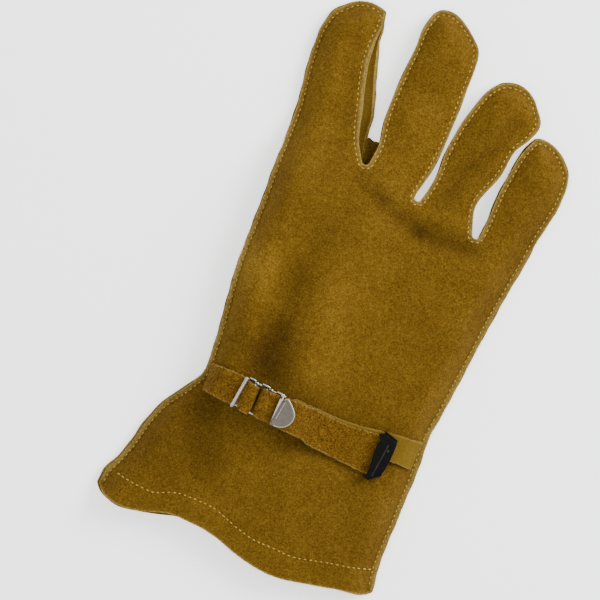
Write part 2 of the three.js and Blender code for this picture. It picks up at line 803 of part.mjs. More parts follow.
// Short tab: from the left seam under the buckle's left bar, over the first inner bar and back beneath.
function strapAnchor() {
  const stations = [];
  for (let i = 0; i < 4; i += 1) {
    const x = mix(leftSeam, buckleLeft - barSize * 2.5, i / 3);
    const z = under(x, 3, -strapHalf, strapHalf) + pieceGap + strapLeather / 2;
    stations.push({ x, z: Math.max(z, mix(z, underLayer, i / 3)), low: -strapHalf, high: strapHalf });
  }
  const rise = buckleLeft + barSize;
  stations.push({ x: buckleLeft, z: underLayer + pieceGap, low: -strapHalf, high: strapHalf });
  const lift = mix(underLayer, overLayer, 0.55);
  stations.push({ x: rise + pieceGap * 2, z: lift, low: -strapHalf, high: strapHalf });
  stations.push(...arcRound(tabBar, barHeight, Math.PI / 2, -Math.PI / 2));
  stations.push({ x: tabBar - barSize, z: underLayer, low: -strapHalf, high: strapHalf });
  return strip(stations, strapLeather);
}

// Underside of the keeper, level on the leather below it.
const keeperBase = pieceGap
  + under(keeperAcross, keeperLength * 0.67, wideLow - 2 * keeperWall, wideHigh + 2 * keeperWall);

// Middle height of the strap's lower layer: it lies on the back and steps up over the keeper's floor.
function lowerLayer(x) {
  const free = under(x, keeperLength / 2, wideLow, strapHalf + strapLean) + pieceGap + strapLeather / 2;
  const inKeeper = keeperBase + keeperWall + pieceGap + strapLeather / 2;
  const share = 1 - smooth(keeperLength * 0.6, keeperLength * 1.3, Math.abs(x - keeperAcross));
  return mix(free, Math.max(free, inKeeper), share);
}

const layerStep = strapLeather + 2 * pieceGap;
const nearKeeper = keeperLength * 0.12;
const clearOfKeeper = keeperLength * 0.75;
const strapStops = [
  rightSeam, mix(rightSeam, keeperEnd, 0.5), keeperEnd + clearOfKeeper, keeperEnd + nearKeeper,
  keeperStart - nearKeeper, keeperStart - clearOfKeeper, mix(keeperStart, buckleRight, 0.4),
  mix(keeperStart, buckleRight, 0.7), buckleRight + buckleLength / 5,
];

// Long strap: pale side up from the right seam, through the keeper to the second inner bar, round it and
// back on top, suede up, under the lever and through the keeper again.
function strapRoute() {
  const narrow = { low: -strapHalf, high: strapHalf };
  const stations = strapStops.map((x) => {
    const lean = strapLean * smooth(keeperEnd, rightSeam, x);
    return { x, z: lowerLayer(x), low: lean - strapHalf, high: lean + strapHalf };
  });
  stations.push({ x: buckleRight - buckleLength / 8, z: underLayer, ...narrow });
  stations.push(...arcRound(strapBar, barHeight, -Math.PI / 2, -1.5 * Math.PI));
  stations.push({ x: strapBar + buckleLength / 6, z: overLayer, ...narrow });
  stations.push({ x: buckleRight, z: overLayer, ...narrow });
  const turn = buckleRight + railSize;
  const back = [turn + buckleLength / 10, turn + buckleLength / 4, ...strapStops.slice(3, 8).reverse()];
  for (const x of [...back.filter((stop) => stop < strapTail), strapTail]) {
    const widen = smooth(turn, turn + buckleLength / 5, x);
    stations.push({
      x,
      z: mix(overLayer, lowerLayer(x) + layerStep, smooth(turn, turn + buckleLength * 0.65, x)),
      low: mix(-strapHalf, wideLow, widen),
      high: mix(strapHalf, wideHigh, widen),
    });
  }
  return stations;
}

const strapStations = strapRoute();

function boxAt(x0, x1, y0, y1, z0, z1) {
  const box = new THREE.BoxGeometry(x1 - x0, y1 - y0, z1 - z0);
  box.translate((x0 + x1) / 2, (y0 + y1) / 2, (z0 + z1) / 2);
  return box;
}

// A round bar across the strap.
function barAcross(x, z, radius, low, high, sides = 10) {
  const bar = new THREE.CylinderGeometry(radius, radius, high - low, sides);
  bar.translate(x, (low + high) / 2, z);
  return bar;
}

const railLow = buckleBase + pieceGap;
const leftBarHeight = overLayer + strapLeather / 2 + barSize / 2 - 2 * pieceGap;
const lugHalf = hingePin * 2;
const pinAcross = buckleRight - hingeTube - hingePin - strapLeather;
const pinHeight = overLayer + strapLeather / 2 + pieceGap + hingeTube;

// Steel frame: two toothed rails, a left bar over the tab, two inner bars and the lever's pin.
function buckleFrame() {
  const parts = [];
  for (const side of [-1, 1]) {
    const inner = side * (strapHalf + pieceGap);
    const outer = side * railOuter;
    const [y0, y1] = [Math.min(inner, outer), Math.max(inner, outer)];
    parts.push(boxAt(buckleLeft, buckleRight, y0, y1, railLow, barHeight + barSize / 2));
    for (let x = buckleLeft; x + toothLength <= buckleRight; x += toothLength * 2) {
      parts.push(boxAt(x, x + toothLength, y0, y1, barHeight, pinHeight + hingePin));
    }
    const top = pinHeight + hingePin + pieceGap;
    parts.push(boxAt(pinAcross - lugHalf, pinAcross + lugHalf, y0, y1, barHeight, top));
  }
  const reach = railOuter - pieceGap;
  parts.push(barAcross(buckleLeft + barSize / 2, leftBarHeight + pieceGap, barSize / 2, -reach, reach));
  parts.push(barAcross(tabBar, barHeight, barSize / 2, -reach, reach));
  parts.push(barAcross(strapBar, barHeight, barSize / 2, -reach, reach));
  parts.push(barAcross(pinAcross, pinHeight, hingePin, -reach, reach, 8));
  for (const side of [-1, 1]) {
    parts.push(boxAt(buckleLeft, buckleLeft + barSize, side > 0 ? strapHalf + pieceGap : -railOuter,
      side > 0 ? railOuter : -strapHalf - pieceGap, barHeight, leftBarHeight + barSize / 2));
  }
  return unite(parts);
}

// Steel lever: a plate shaped like a plectrum, curled round the pin along its straight edge.
function buckleLever() {
  const shape = new THREE.Shape();
  const top = leverWidth * 0.42;
  const low = top - leverWidth;
  shape.moveTo(-hingeTube, low + 1.2);
  shape.quadraticCurveTo(-hingeTube, low, 1.2, low);
  shape.bezierCurveTo(leverLength * 0.75, low, leverLength, low + leverWidth * 0.2,
    leverLength, low + leverWidth * 0.42);
  shape.bezierCurveTo(leverLength, low + leverWidth * 0.62, leverLength * 0.5, top, 1, top);
  shape.quadraticCurveTo(-hingeTube, top, -hingeTube, top - 1.6);
  shape.closePath();
  const plate = new THREE.ExtrudeGeometry(shape, {
    depth: leverPlate, curveSegments: 6, bevelEnabled: false,
  });
  plate.translate(pinAcross, 0, pinHeight + hingeTube + 0.35);
  const half = strapHalf - pieceGap;
  const tube = barAcross(pinAcross, pinHeight, hingeTube, -half, half, 12);
  const web = boxAt(pinAcross - hingeTube * 0.9, pinAcross - hingeTube * 0.1, -half, half,
    pinHeight + hingeTube * 0.8, pinHeight + hingeTube + 0.35 + leverPlate / 2);
  const bore = barAcross(pinAcross, pinHeight, hingePin + pieceGap, -strapHalf, strapHalf, 12);
  return cut(unite([plate, tube, web]), bore);
}

// Plastic keeper: a flat loop round both layers of the strap, with a hooked lip at each end.
function keeper() {
  const base = keeperBase;
  const roof = base + keeperWall + layerStep + strapLeather + 2 * pieceGap;
  const low = wideLow - pieceGap - keeperWall;
  const high = wideHigh + pieceGap + keeperWall;
  const outer = boxAt(keeperStart, keeperEnd, low, high, base, roof + keeperWall);
  const slot = boxAt(keeperStart - 1, keeperEnd + 1, low + keeperWall, high - keeperWall,
    base + keeperWall, roof);
  const hook = (y0, y1) => boxAt(keeperStart - 1.8, keeperStart + 2, y0, y1, roof, roof + keeperWall * 0.9);
  return cut(unite([outer, hook(low, low + 4), hook(high - 2.5, high)]), slot);
}

const glove = new THREE.Group();

function add(name, geometry, material) {
  const mesh = new THREE.Mesh(geometry, material);
  mesh.name = name;
  glove.add(mesh);
  return mesh;
}

add('back_panel', back, suede);
add('palm_panel', palmPanel(), suede);
add('finger_front', fingerFront(), suede);
add('fourchette_index_middle', fourchette(0), suedeEdge);
add('fourchette_middle_ring', fourchette(1), suedeEdge);
add('fourchette_ring_little', fourchette(2), suedeEdge);
add('thumb_front', thumbFront(), suede);
add('thumb_back', thumbBack(), suede);
add('strap_anchor', strapAnchor(), strapSuede);
add('strap', strip(strapStations, strapLeather), strapSuede);
add('strap_keeper', keeper(), plastic);
add('buckle_frame', buckleFrame(), steel);
add('buckle_lever', buckleLever(), steel);

// The finished glove stands on Z = 0 with the middle of its box over the origin.
const box = new THREE.Box3().setFromObject(glove);
const middle = box.getCenter(new THREE.Vector3());
glove.position.set(-middle.x, -middle.y, -box.min.z);

export default glove;
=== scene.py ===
import json
import math

import bpy
import bmesh
import numpy as np
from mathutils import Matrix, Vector
from mathutils.bvhtree import BVHTree
from mathutils.geometry import delaunay_2d_cdt

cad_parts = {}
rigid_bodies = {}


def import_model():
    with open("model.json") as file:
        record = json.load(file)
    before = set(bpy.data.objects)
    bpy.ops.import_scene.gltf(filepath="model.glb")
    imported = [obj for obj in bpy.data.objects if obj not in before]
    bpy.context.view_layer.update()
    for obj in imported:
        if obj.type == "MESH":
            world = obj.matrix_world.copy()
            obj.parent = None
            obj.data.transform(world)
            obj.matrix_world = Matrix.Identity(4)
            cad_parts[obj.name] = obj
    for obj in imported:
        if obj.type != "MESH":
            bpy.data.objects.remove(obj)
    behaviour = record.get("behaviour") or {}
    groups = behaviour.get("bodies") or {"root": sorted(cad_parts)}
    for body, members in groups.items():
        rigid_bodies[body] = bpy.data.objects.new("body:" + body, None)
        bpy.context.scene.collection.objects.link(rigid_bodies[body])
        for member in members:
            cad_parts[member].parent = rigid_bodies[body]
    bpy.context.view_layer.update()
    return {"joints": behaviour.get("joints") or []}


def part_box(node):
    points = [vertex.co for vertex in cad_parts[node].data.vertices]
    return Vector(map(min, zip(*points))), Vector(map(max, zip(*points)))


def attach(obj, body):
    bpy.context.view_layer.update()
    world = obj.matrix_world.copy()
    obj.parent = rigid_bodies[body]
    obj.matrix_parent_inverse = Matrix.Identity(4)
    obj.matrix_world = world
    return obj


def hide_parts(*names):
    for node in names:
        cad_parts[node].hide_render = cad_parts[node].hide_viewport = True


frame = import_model()
bpy.ops.object.select_all(action="DESELECT")

mm = 0.001  # everything below is measured in millimetres and made in metres


# Camera, light and floor

view = {
    "aim": (-21.9, -14.8, 6.0),  # what the middle of the picture looks at
    "roll": 22.5,                 # degrees that the glove leans to the right
    "across": 300.0,              # width of the picture at the glove
    "distance": 2800.0,
    "sensor": 36.0, "farthest": 20.0,
}
lights = [
    # name, place in metres, size, power; all of them look at the origin
    ("key", (0.75, 0.85, 0.95), 0.9, 38),
    ("fill", (-0.9, -0.5, 1.0), 1.4, 7),
    ("top", (0.0, 0.0, 1.5), 1.6, 10),
]
studio = {"sky": 0.70, "floorSize": 12, "floorHeight": -0.0001, "paper": 0.94, "paperGlow": 1.15,
          "paperRoughness": 0.9}


def makeCamera():
    camera = bpy.data.cameras.new("camera")
    camera.sensor_width = view["sensor"]
    camera.lens = view["sensor"] * view["distance"] / view["across"]
    camera.clip_end = view["farthest"]
    spot = bpy.data.objects.new("camera", camera)
    x, y, z = view["aim"]
    spot.location = (x * mm, y * mm, (z + view["distance"]) * mm)
    spot.rotation_euler = (0, 0, math.radians(view["roll"]))
    bpy.context.collection.objects.link(spot)
    bpy.context.scene.camera = spot


def addAreaLight(name, place, size, power):
    light = bpy.data.lights.new(name, "AREA")
    light.size = size
    light.energy = power
    spot = bpy.data.objects.new(name, light)
    spot.location = place
    spot.rotation_euler = (Vector() - Vector(place)).to_track_quat("-Z", "Y").to_euler()
    bpy.context.collection.objects.link(spot)


def makeStudio():
    for light in lights:
        addAreaLight(*light)
    world = bpy.data.worlds.new("studio")
    world.use_nodes = True
    sky = world.node_tree.nodes["Background"].inputs
    sky["Color"].default_value = (1, 1, 1, 1)
    sky["Strength"].default_value = studio["sky"]
    bpy.context.scene.world = world
    bpy.ops.mesh.primitive_plane_add(size=studio["floorSize"], location=(0, 0, studio["floorHeight"]))
    floor = bpy.context.object
    floor.name = "floor"
    paper = bpy.data.materials.new("paper")
    paper.use_nodes = True
    sockets = paper.node_tree.nodes["Principled BSDF"].inputs
    sockets["Base Color"].default_value = (studio["paper"],) * 3 + (1,)
    sockets["Roughness"].default_value = studio["paperRoughness"]
    sockets["Emission Color"].default_value = (1, 1, 1, 1)
    sockets["Emission Strength"].default_value = studio["paperGlow"]
    floor.data.materials.append(paper)
    floor.select_set(False)


makeCamera()
makeStudio()
print("camera and studio ready")


# Plan of the glove. Y = 0 is the middle of the strap and X = 0 the middle of the palm until the panels
# are laid on the frame.

# flange: how far the seam's two edges lie flat on each other; lift: room under the palm's edge
leather = {"wall": 1.3, "flange": 2.2, "lift": 3.0, "gap": 0.05, "groove": 0.6}

hand = {
    "palmWidth": 134.0, "handLength": 125.0, "cuffLength": 68.0, "hemWave": 10.5,
    "handLoft": 17.0, "cuffLoft": 14.0, "fingerLoft": 13.0,
    "backRound": 15.0, "palmRound": 9.0, "crotch": 4.0, "cinch": 3.5, "cinchReach": 14.0,
    "stripHeight": 9.0, "stripEnd": 3.0,
    # top of the palm's own crotch between index and middle finger, which shows from above
    "web": [(-28.8, 141.2), (-26.6, 142.2), (-24.6, 141.4), (-22.6, 141.8)],
    # how far the index finger leans over its inner wall: share of the way to the tip, mm
    "roll": [(0.00, 0.0), (0.08, 2.2), (0.17, 4.3), (0.24, 5.8), (0.31, 6.9), (0.44, 7.1), (0.56, 6.5),
             (0.68, 5.4), (0.79, 2.9), (0.92, 0.8), (1.00, 0.0)],
    # leftAcross, leftAlong, rightAcross, rightAlong: shares of the palm's width and of the cuff's or
    # the hand's length
    "sections": [
        (-0.641, -1.000, 0.454, -0.985), (-0.634, -0.895, 0.451, -0.912), (-0.608, -0.774, 0.442, -0.809),
        (-0.584, -0.629, 0.440, -0.632), (-0.562, -0.438, 0.442, -0.441), (-0.530, -0.275, 0.440, -0.287),
        (-0.474, -0.110, 0.440, -0.125), (-0.435, 0.024, 0.437, 0.024), (-0.437, 0.108, 0.433, 0.120),
        (-0.445, 0.216, 0.444, 0.216), (-0.463, 0.360, 0.457, 0.360), (-0.476, 0.504, 0.471, 0.504),
        (-0.478, 0.640, 0.481, 0.640), (-0.481, 0.768, 0.499, 0.782), (-0.487, 0.896, 0.509, 0.864),
    ],
    # across, along: the knuckle line from the index finger's outer edge to the little finger's
    "knuckles": [(-0.491, 1.040), (-0.179, 1.041), (0.053, 0.987), (0.305, 0.937), (0.517, 0.928)],
    # share of the way across, share of hemWave
    "hemSag": [(0.00, 0.00), (0.02, 0.34), (0.05, 0.54), (0.10, 0.66), (0.17, 0.52), (0.26, 0.14),
               (0.33, 0.14), (0.42, 0.27), (0.55, 0.83), (0.67, 1.04), (0.80, 0.74), (0.88, 0.50),
               (0.97, 0.30), (1.00, 0.00)],
}

# leftAcross, leftAlong, rightAcross, rightAlong: shares of the finger's width and length from its root
fingers = [
    {"name": "index", "length": 74.5, "width": 32.0, "tipRound": 3.6, "tipLean": 0.95, "sections": [
        (-0.64, 0.19, 0.43, 0.137), (-0.71, 0.40, 0.29, 0.334), (-0.755, 0.57, 0.19, 0.473),
        (-0.77, 0.70, 0.105, 0.63), (-0.73, 0.80, 0.092, 0.778), (-0.67, 0.87, 0.108, 0.875),
        (-0.525, 0.935, 0.078, 0.985)]},
    {"name": "middle", "length": 89.0, "width": 32.5, "tipRound": 5.0, "tipLean": 0.7, "sections": [
        (-0.39, 0.17, 0.51, 0.13), (-0.46, 0.31, 0.55, 0.31), (-0.47, 0.45, 0.55, 0.46),
        (-0.46, 0.60, 0.54, 0.61), (-0.44, 0.75, 0.53, 0.76), (-0.44, 0.86, 0.47, 0.86),
        (-0.37, 0.96, 0.31, 0.925)]},
    {"name": "ring", "length": 75.5, "width": 32.0, "tipRound": 3.2, "tipLean": 1.0, "sections": [
        (-0.39, 0.23, 0.35, 0.16), (-0.40, 0.39, 0.53, 0.39), (-0.36, 0.57, 0.59, 0.57),
        (-0.27, 0.73, 0.74, 0.69), (-0.16, 0.87, 0.79, 0.81), (0.00, 0.96, 0.59, 0.94)]},
    {"name": "little", "length": 58.5, "width": 29.0, "tipRound": 2.6, "tipLean": 0.8, "sections": [
        (-0.43, 0.20, 0.50, 0.19), (-0.43, 0.40, 0.57, 0.38), (-0.39, 0.61, 0.62, 0.57),
        (-0.33, 0.80, 0.58, 0.77), (-0.20, 0.97, 0.36, 0.91)]},
]

thumb = {
    "room": 12.5, "width": 38.0, "length": 90.0, "across": -41.0, "start": 14.0, "seam": 5.4,
    "holeWidth": 27.0, "holeLength": 36.0, "rise": 38.0, "margin": 3.0, "tipRound": 12,
    # along, half width, sideways
    "sections": [(0.00, 0.20, 0.02), (0.03, 0.37, 0.02), (0.10, 0.47, 0.01), (0.22, 0.50, 0.00),
                 (0.36, 0.50, 0.00), (0.50, 0.49, 0.00), (0.64, 0.47, -0.01), (0.78, 0.43, -0.03),
                 (0.90, 0.35, -0.04), (0.97, 0.23, -0.05)],
}


def smooth(low, high, value):
    t = np.clip((np.asarray(value, float) - low) / (high - low), 0, 1)
    return t * t * (3 - 2 * t)


def mix(a, b, t):
    return a + (b - a) * t


def bell(away, width):
    return np.exp(-((away / width) ** 2))


def handPoint(across, along):
    return np.array([across * hand["palmWidth"],
                     along * (hand["cuffLength"] if along < 0 else hand["handLength"])])


def curveThrough(points, steps):
    p = np.array(points, float)
    p = np.vstack([2 * p[0] - p[1], p, 2 * p[-1] - p[-2]])
    out = []
    for i in range(1, len(p) - 2):
        for t in np.arange(steps) / steps:
            a, b, c, d = p[i - 1], p[i], p[i + 1], p[i + 2]
            out.append(0.5 * (2 * b + (c - a) * t + (2 * a - 5 * b + 4 * c - d) * t ** 2
                              + (3 * b - a - 3 * c + d) * t ** 3))
    out.append(p[-2])
    return np.array(out)


def lengthAlong(points):
    return np.r_[0, np.cumsum(np.linalg.norm(np.diff(points, axis=0), axis=1))]


def placesAt(at, steps, points):
    return np.column_stack([np.interp(at, steps, column) for column in points.T])


def evenly(points, spacing):
    steps = lengthAlong(points)
    count = max(int(round(steps[-1] / spacing)), 2)
    return placesAt(np.linspace(0, steps[-1], count + 1), steps, points)


def closeUp(points):
    return np.vstack([points, points[:1]])


def leftNormals(step):
    return np.column_stack([-step[:, 1], step[:, 0]]) / np.linalg.norm(step, axis=1, keepdims=True)


def relaxed(points, rounds):
    p = points.copy()
    for _ in range(rounds):
        p[1:-1] = 0.5 * p[1:-1] + 0.25 * (p[:-2] + p[2:])
    return p


shift = np.array([5.94, -69.07, 0.0])  # from the plan to the frame
knuckles = [handPoint(*k) for k in hand["knuckles"]]


def fingerRoots(i):
    left, right = knuckles[i].copy(), knuckles[i + 1].copy()
    if i > 0:
        left[0] += hand["crotch"] / 2
    if i < 3:
        right[0] -= hand["crotch"] / 2
    return left, right


def fingerPlan(i):
    finger = fingers[i]
    left, right = fingerRoots(i)
    middle = (left + right) / 2
    size = np.array([finger["width"], finger["length"]])
    lefts = [middle + size * np.array(s[:2]) for s in finger["sections"]]
    rights = [middle + size * np.array(s[2:]) for s in finger["sections"]]
    a, b = lefts[-1], rights[-1]
    up = np.array([a[1] - b[1], b[0] - a[0]])
    up /= np.linalg.norm(up)
    u = np.linspace(0, 1, 14)[1:-1, None]
    lean = u ** finger["tipLean"]
    tip = a + (b - a) * u + up * finger["tipRound"] * 4 * lean * (1 - lean)
    return lefts, tip, rights


handLefts = [handPoint(s[0], s[1]) for s in hand["sections"]]
handRights = [handPoint(s[2], s[3]) for s in hand["sections"]]


def hemDrop(share):
    return hand["hemWave"] * np.interp(share, *curveThrough(hand["hemSag"], 8).T)


def hemLine():
    share = np.linspace(0, 1, 160)
    a, b = handLefts[0], handRights[0]
    line = a + (b - a) * share[:, None]
    line[:, 1] -= hemDrop(share)
    return line


def hemHeight(x):
    return np.interp(x, *hemLine().T)


def wallAlong(t):
    return mix(hand["stripHeight"], hand["stripEnd"], t) * (1 - smooth(0.92, 1.0, t))


def withWall(points, wall):
    points = np.asarray(points)
    return np.column_stack([points, np.broadcast_to(wall, len(points))])


def sidePart(points, wallFrom=None):
    line = evenly(curveThrough(points, 12), 0.8)
    t = np.linspace(0, 1, len(line))
    if wallFrom is None:
        return withWall(line, 0.0)
    return withWall(line, wallAlong(t if wallFrom == "root" else 1 - t))


def crotchPart(i):
    a, b = fingerRoots(i)[1], fingerRoots(i + 1)[0]
    angle = np.linspace(math.pi, 2 * math.pi, 9)[1:-1]
    middle, half = (a + b) / 2, (b - a) / 2
    arc = middle - half * np.cos(angle - math.pi)[:, None]
    arc[:, 1] += np.sin(angle) * np.linalg.norm(half) * 0.8
    return withWall(arc, hand["stripHeight"])


def fingerPart(i, left=True, right=True):
    lefts, tip, rights = fingerPlan(i)
    rootLeft, rootRight = fingerRoots(i)
    parts = []
    if left:
        parts.append(sidePart([rootLeft] + lefts, "root" if i > 0 else None))
    parts.append(withWall(tip, 0.0))
    if right:
        parts.append(sidePart([rootRight] + rights, "root" if i < 3 else None)[::-1])
    return parts


def joined(parts):
    line = np.vstack(parts)
    keep = np.r_[True, np.linalg.norm(np.diff(line[:, :2], axis=0), axis=1) > 0.05]
    return line[keep]


leftEdge = sidePart(handLefts + [fingerRoots(0)[0]] + fingerPlan(0)[0])
rightEdge = sidePart(handRights + [fingerRoots(3)[1]] + fingerPlan(3)[2])[::-1]
indexInner = fingerPart(0, left=False)
middleRing = fingerPart(1) + [crotchPart(1)] + fingerPart(2)
littleInner = fingerPart(3, right=False)

seamSpacing = 0.8
backSeam = evenly(joined([leftEdge] + indexInner + [crotchPart(0)] + middleRing + [crotchPart(2)]
                         + littleInner + [rightEdge]), seamSpacing)
backSeam = np.column_stack([relaxed(backSeam[:, :2], 3), backSeam[:, 2]])
hem = hemLine()


def withHem(seam):
    return np.vstack([seam[:, :2], hem[::-1][1:-1]])


backOutline = withHem(backSeam)
backLoop = evenly(closeUp(backOutline), seamSpacing)


def farther(points, samples, chunk=3000):
    out = np.empty(len(points))
    for i in range(0, len(points), chunk):
        p = points[i:i + chunk]
        square = ((p[:, None, :2] - samples[None, :, :2]) ** 2).sum(axis=2)
        out[i:i + chunk] = np.sqrt(square.min(axis=1))
    return out


def seamField(points, seam, chunk=3000):
    near = np.empty(len(points))
    wall = np.empty(len(points))
    for i in range(0, len(points), chunk):
        p = points[i:i + chunk]
        d = np.sqrt(((p[:, None, :2] - seam[None, :, :2]) ** 2).sum(axis=2))
        cost = d - 0.5 * seam[None, :, 2]
        weight = np.exp(-(cost - cost.min(axis=1, keepdims=True)) / 1.2)
        near[i:i + chunk] = d.min(axis=1)
        wall[i:i + chunk] = (weight * seam[None, :, 2]).sum(axis=1) / weight.sum(axis=1)
    return near, wall


def edgeRise(distance, reach):
    share = np.clip((distance - leather["flange"]) / (reach - leather["flange"]), 0, 1)
    return 1 - (1 - share) ** 2.2


def floorHeight(p):
    along = np.clip((p[:, 1] - thumb["start"]) / thumb["length"], 0, 1)
    reach = np.maximum(np.abs(p[:, 0] - thumb["across"]) - thumb["width"] / 2, 0)
    past = p[:, 1] - thumb["start"] - along * thumb["length"]
    away = np.hypot(reach, past)
    return thumb["room"] * (1 - smooth(thumb["margin"], thumb["margin"] + thumb["rise"], away))


# Small waves of the leather: shortest and longest wave, number of waves, seed
ripples = {"slow": (26, 60, 7, 3), "quick": (9, 18, 6, 5), "bend": (30, 60, 3, 8),
           "slowHeight": 0.28, "quickHeight": 0.14, "bendReach": 3, "calmReach": 16.0}


def waves(p, shortest, longest, count, seed):
    random = np.random.default_rng(seed)
    total = np.zeros(len(p))
    for _ in range(count):
        length, angle = random.uniform(shortest, longest), random.uniform(0, math.pi)
        phase = random.uniform(0, 2 * math.pi)
        along = p[:, 0] * math.cos(angle) + p[:, 1] * math.sin(angle)
        total += np.sin(along * 2 * math.pi / length + phase)
    return total / math.sqrt(count)


# Troughs and swells of the back, in mm of the plan: from, to, width, depth; a negative depth is a swell
folds = [
    ((-24.0, 106.0), (-36.5, 62.0), 9.0, 1.8),
    ((-36.0, 62.0), (-33.0, 35.0), 8.0, 3.0),
    ((-33.0, 35.0), (-27.0, 14.0), 9.0, 3.2),
    ((-45.0, 66.0), (-43.0, 32.0), 6.5, -1.3),
    ((-50.0, 20.0), (-38.0, 15.0), 8.0, 1.6),
    ((-12.0, 62.0), (-9.0, 25.0), 12.0, -1.5),
    ((-23.7, 122.6), (-8.0, 116.1), 4.6, 2.6),
    ((-8.0, 116.1), (14.4, 109.1), 4.8, 3.4),
    ((14.4, 109.1), (41.0, 110.5), 4.6, 3.6),
    ((-52.0, 184.0), (-36.0, 138.0), 4.6, 1.7),
    ((37.5, 176.0), (26.0, 148.6), 4.8, 2.4),
    ((26.0, 148.6), (17.8, 125.0), 4.6, 3.0),
    ((-17.5, 155.0), (-15.0, 146.0), 5.0, 1.0),
    ((66.0, 124.0), (58.0, 74.0), 6.0, 2.0),
    ((-52.6, -10.0), (-44.4, -36.5), 10.0, 3.2),
]


def cinchDepth(p):
    return hand["cinch"] * bell(p[:, 1], hand["cinchReach"])


def foldDepth(p):
    depth = cinchDepth(p)
    for a, b, width, deep in folds:
        a, b = np.array(a), np.array(b)
        t = np.clip(((p[:, :2] - a) @ (b - a)) / ((b - a) @ (b - a)), 0, 1)
        away = np.linalg.norm(p[:, :2] - (a + (b - a) * t[:, None]), axis=1)
        depth = depth + deep * bell(away, width)
    return depth


def relief(p, rise):
    calm = 1 - bell(p[:, 1], ripples["calmReach"])
    slow = waves(p, *ripples["slow"]) * ripples["slowHeight"]
    bent = p + waves(p, *ripples["bend"])[:, None] * ripples["bendReach"]
    quick = waves(bent, *ripples["quick"]) * ripples["quickHeight"]
    return (slow + quick) * calm * rise


def seamGroove(near):
    return bell(near - leather["flange"], leather["groove"])


def backTop(p):
    near, wall = seamField(p, backSeam)
    floor = floorHeight(p)
    edge = floor + leather["wall"] + leather["lift"] + leather["gap"] + wall
    towardsFingers = smooth(hand["handLength"] * 0.75, hand["handLength"] * 1.1, p[:, 1])
    towardsHem = smooth(0, hand["cuffLength"], -p[:, 1])
    loft = mix(mix(hand["handLoft"], hand["cuffLoft"], towardsHem), hand["fingerLoft"], towardsFingers)
    rise = edgeRise(near, hand["backRound"])
    inner = floor + np.maximum(loft - foldDepth(p) + relief(p, rise), edge - floor + 0.6)
    return mix(edge, inner, rise) + leather["wall"] - 0.3 * seamGroove(near)


# Triangles over a plan: rings of points that follow the edges, then an even field of points

def inside(points, loop, chunk=4000):
    out = np.zeros(len(points), bool)
    a, b = loop[:, :2], np.roll(loop[:, :2], -1, axis=0)
    for i in range(0, len(points), chunk):
        x, y = points[i:i + chunk, 0][:, None], points[i:i + chunk, 1][:, None]
        crosses = (a[:, 1] > y) != (b[:, 1] > y)
        at = a[:, 0] + (y - a[:, 1]) / (b[:, 1] - a[:, 1] + 1e-12) * (b[:, 0] - a[:, 0])
        out[i:i + chunk] = (crosses & (x < at)).sum(axis=1) % 2 == 1
    return out


def inwardNormals(loop):
    area = np.sum(loop[:, 0] * np.roll(loop[:, 1], -1) - np.roll(loop[:, 0], -1) * loop[:, 1])
    return leftNormals(np.roll(loop, -2, axis=0) - np.roll(loop, 2, axis=0)) * np.sign(area)


def onLeather(points, loops):
    keep = inside(points, loops[0])
    for hole in loops[1:]:
        keep &= ~inside(points, hole)
    return keep


def fillPlan(loops, spacing, rings):
    loops = [loop[:, :2] for loop in loops]
    border = np.vstack(loops)
    points = [border]
    edges, start = [], 0
    for loop in loops:
        edges += [(start + i, start + (i + 1) % len(loop)) for i in range(len(loop))]
        start += len(loop)
    for n, loop in enumerate(loops):
        normal = inwardNormals(loop) * (1 if n == 0 else -1)
        for ring in rings:
            moved = loop + normal * ring
            moved = moved[(farther(moved, border) > 0.94 * ring) & inside(moved, loops[0])]
            if len(moved):
                gap = np.r_[spacing, np.linalg.norm(np.diff(moved, axis=0), axis=1)]
                points.append(moved[gap > 0.25 * spacing])
    low, high = border.min(axis=0), border.max(axis=0)
    rows = np.arange(low[1], high[1], spacing * math.sqrt(3) / 2)
    columns = np.arange(low[0], high[0], spacing)
    grid = np.vstack([np.column_stack([columns + (i % 2) * spacing / 2, np.full(len(columns), y)])
                      for i, y in enumerate(rows)])
    grid = grid[onLeather(grid, loops)]
    grid = grid[farther(grid, border) > rings[-1] + 0.6 * spacing]
    points.append(grid)
    cloud = np.vstack(points)
    verts, _, faces, *_ = delaunay_2d_cdt([Vector(p) for p in cloud], edges, [], 0, 1e-6)
    plan = np.array([v[:] for v in verts])
    faces = np.array([f for f in faces if len(f) == 3])
    faces = faces[onLeather(plan[faces].mean(axis=1), loops)]
    a, b, c = plan[faces[:, 0]], plan[faces[:, 1]], plan[faces[:, 2]]
    turn = (b[:, 0] - a[:, 0]) * (c[:, 1] - a[:, 1]) - (b[:, 1] - a[:, 1]) * (c[:, 0] - a[:, 0])
    faces[turn < 0] = faces[turn < 0][:, ::-1]
    used = np.unique(faces)
    renumber = np.zeros(len(plan), int)
    renumber[used] = np.arange(len(used))
    return plan[used], renumber[faces]


# Meshes

def makeObject(name, points, faces, shades=None):
    mesh = bpy.data.meshes.new(name)
    mesh.from_pydata(((np.asarray(points) + shift) * mm).tolist(), [], [tuple(map(int, f)) for f in faces])
    for key, values in (shades or {}).items():
        layer = mesh.attributes.new(key, "FLOAT", "POINT")
        layer.data.foreach_set("value", np.asarray(values, np.float32))
    piece = bpy.data.objects.new(name, mesh)
    bpy.context.collection.objects.link(piece)
    return piece


def camelName(name):
    first, *rest = name.split("_")
    return first + "".join(word.capitalize() for word in rest)


def choose(piece):
    bpy.ops.object.select_all(action="DESELECT")
    piece.select_set(True)
    bpy.context.view_layer.objects.active = piece


def applyModifiers(piece):
    choose(piece)
    for modifier in list(piece.modifiers):
        bpy.ops.object.modifier_apply(modifier=modifier.name)


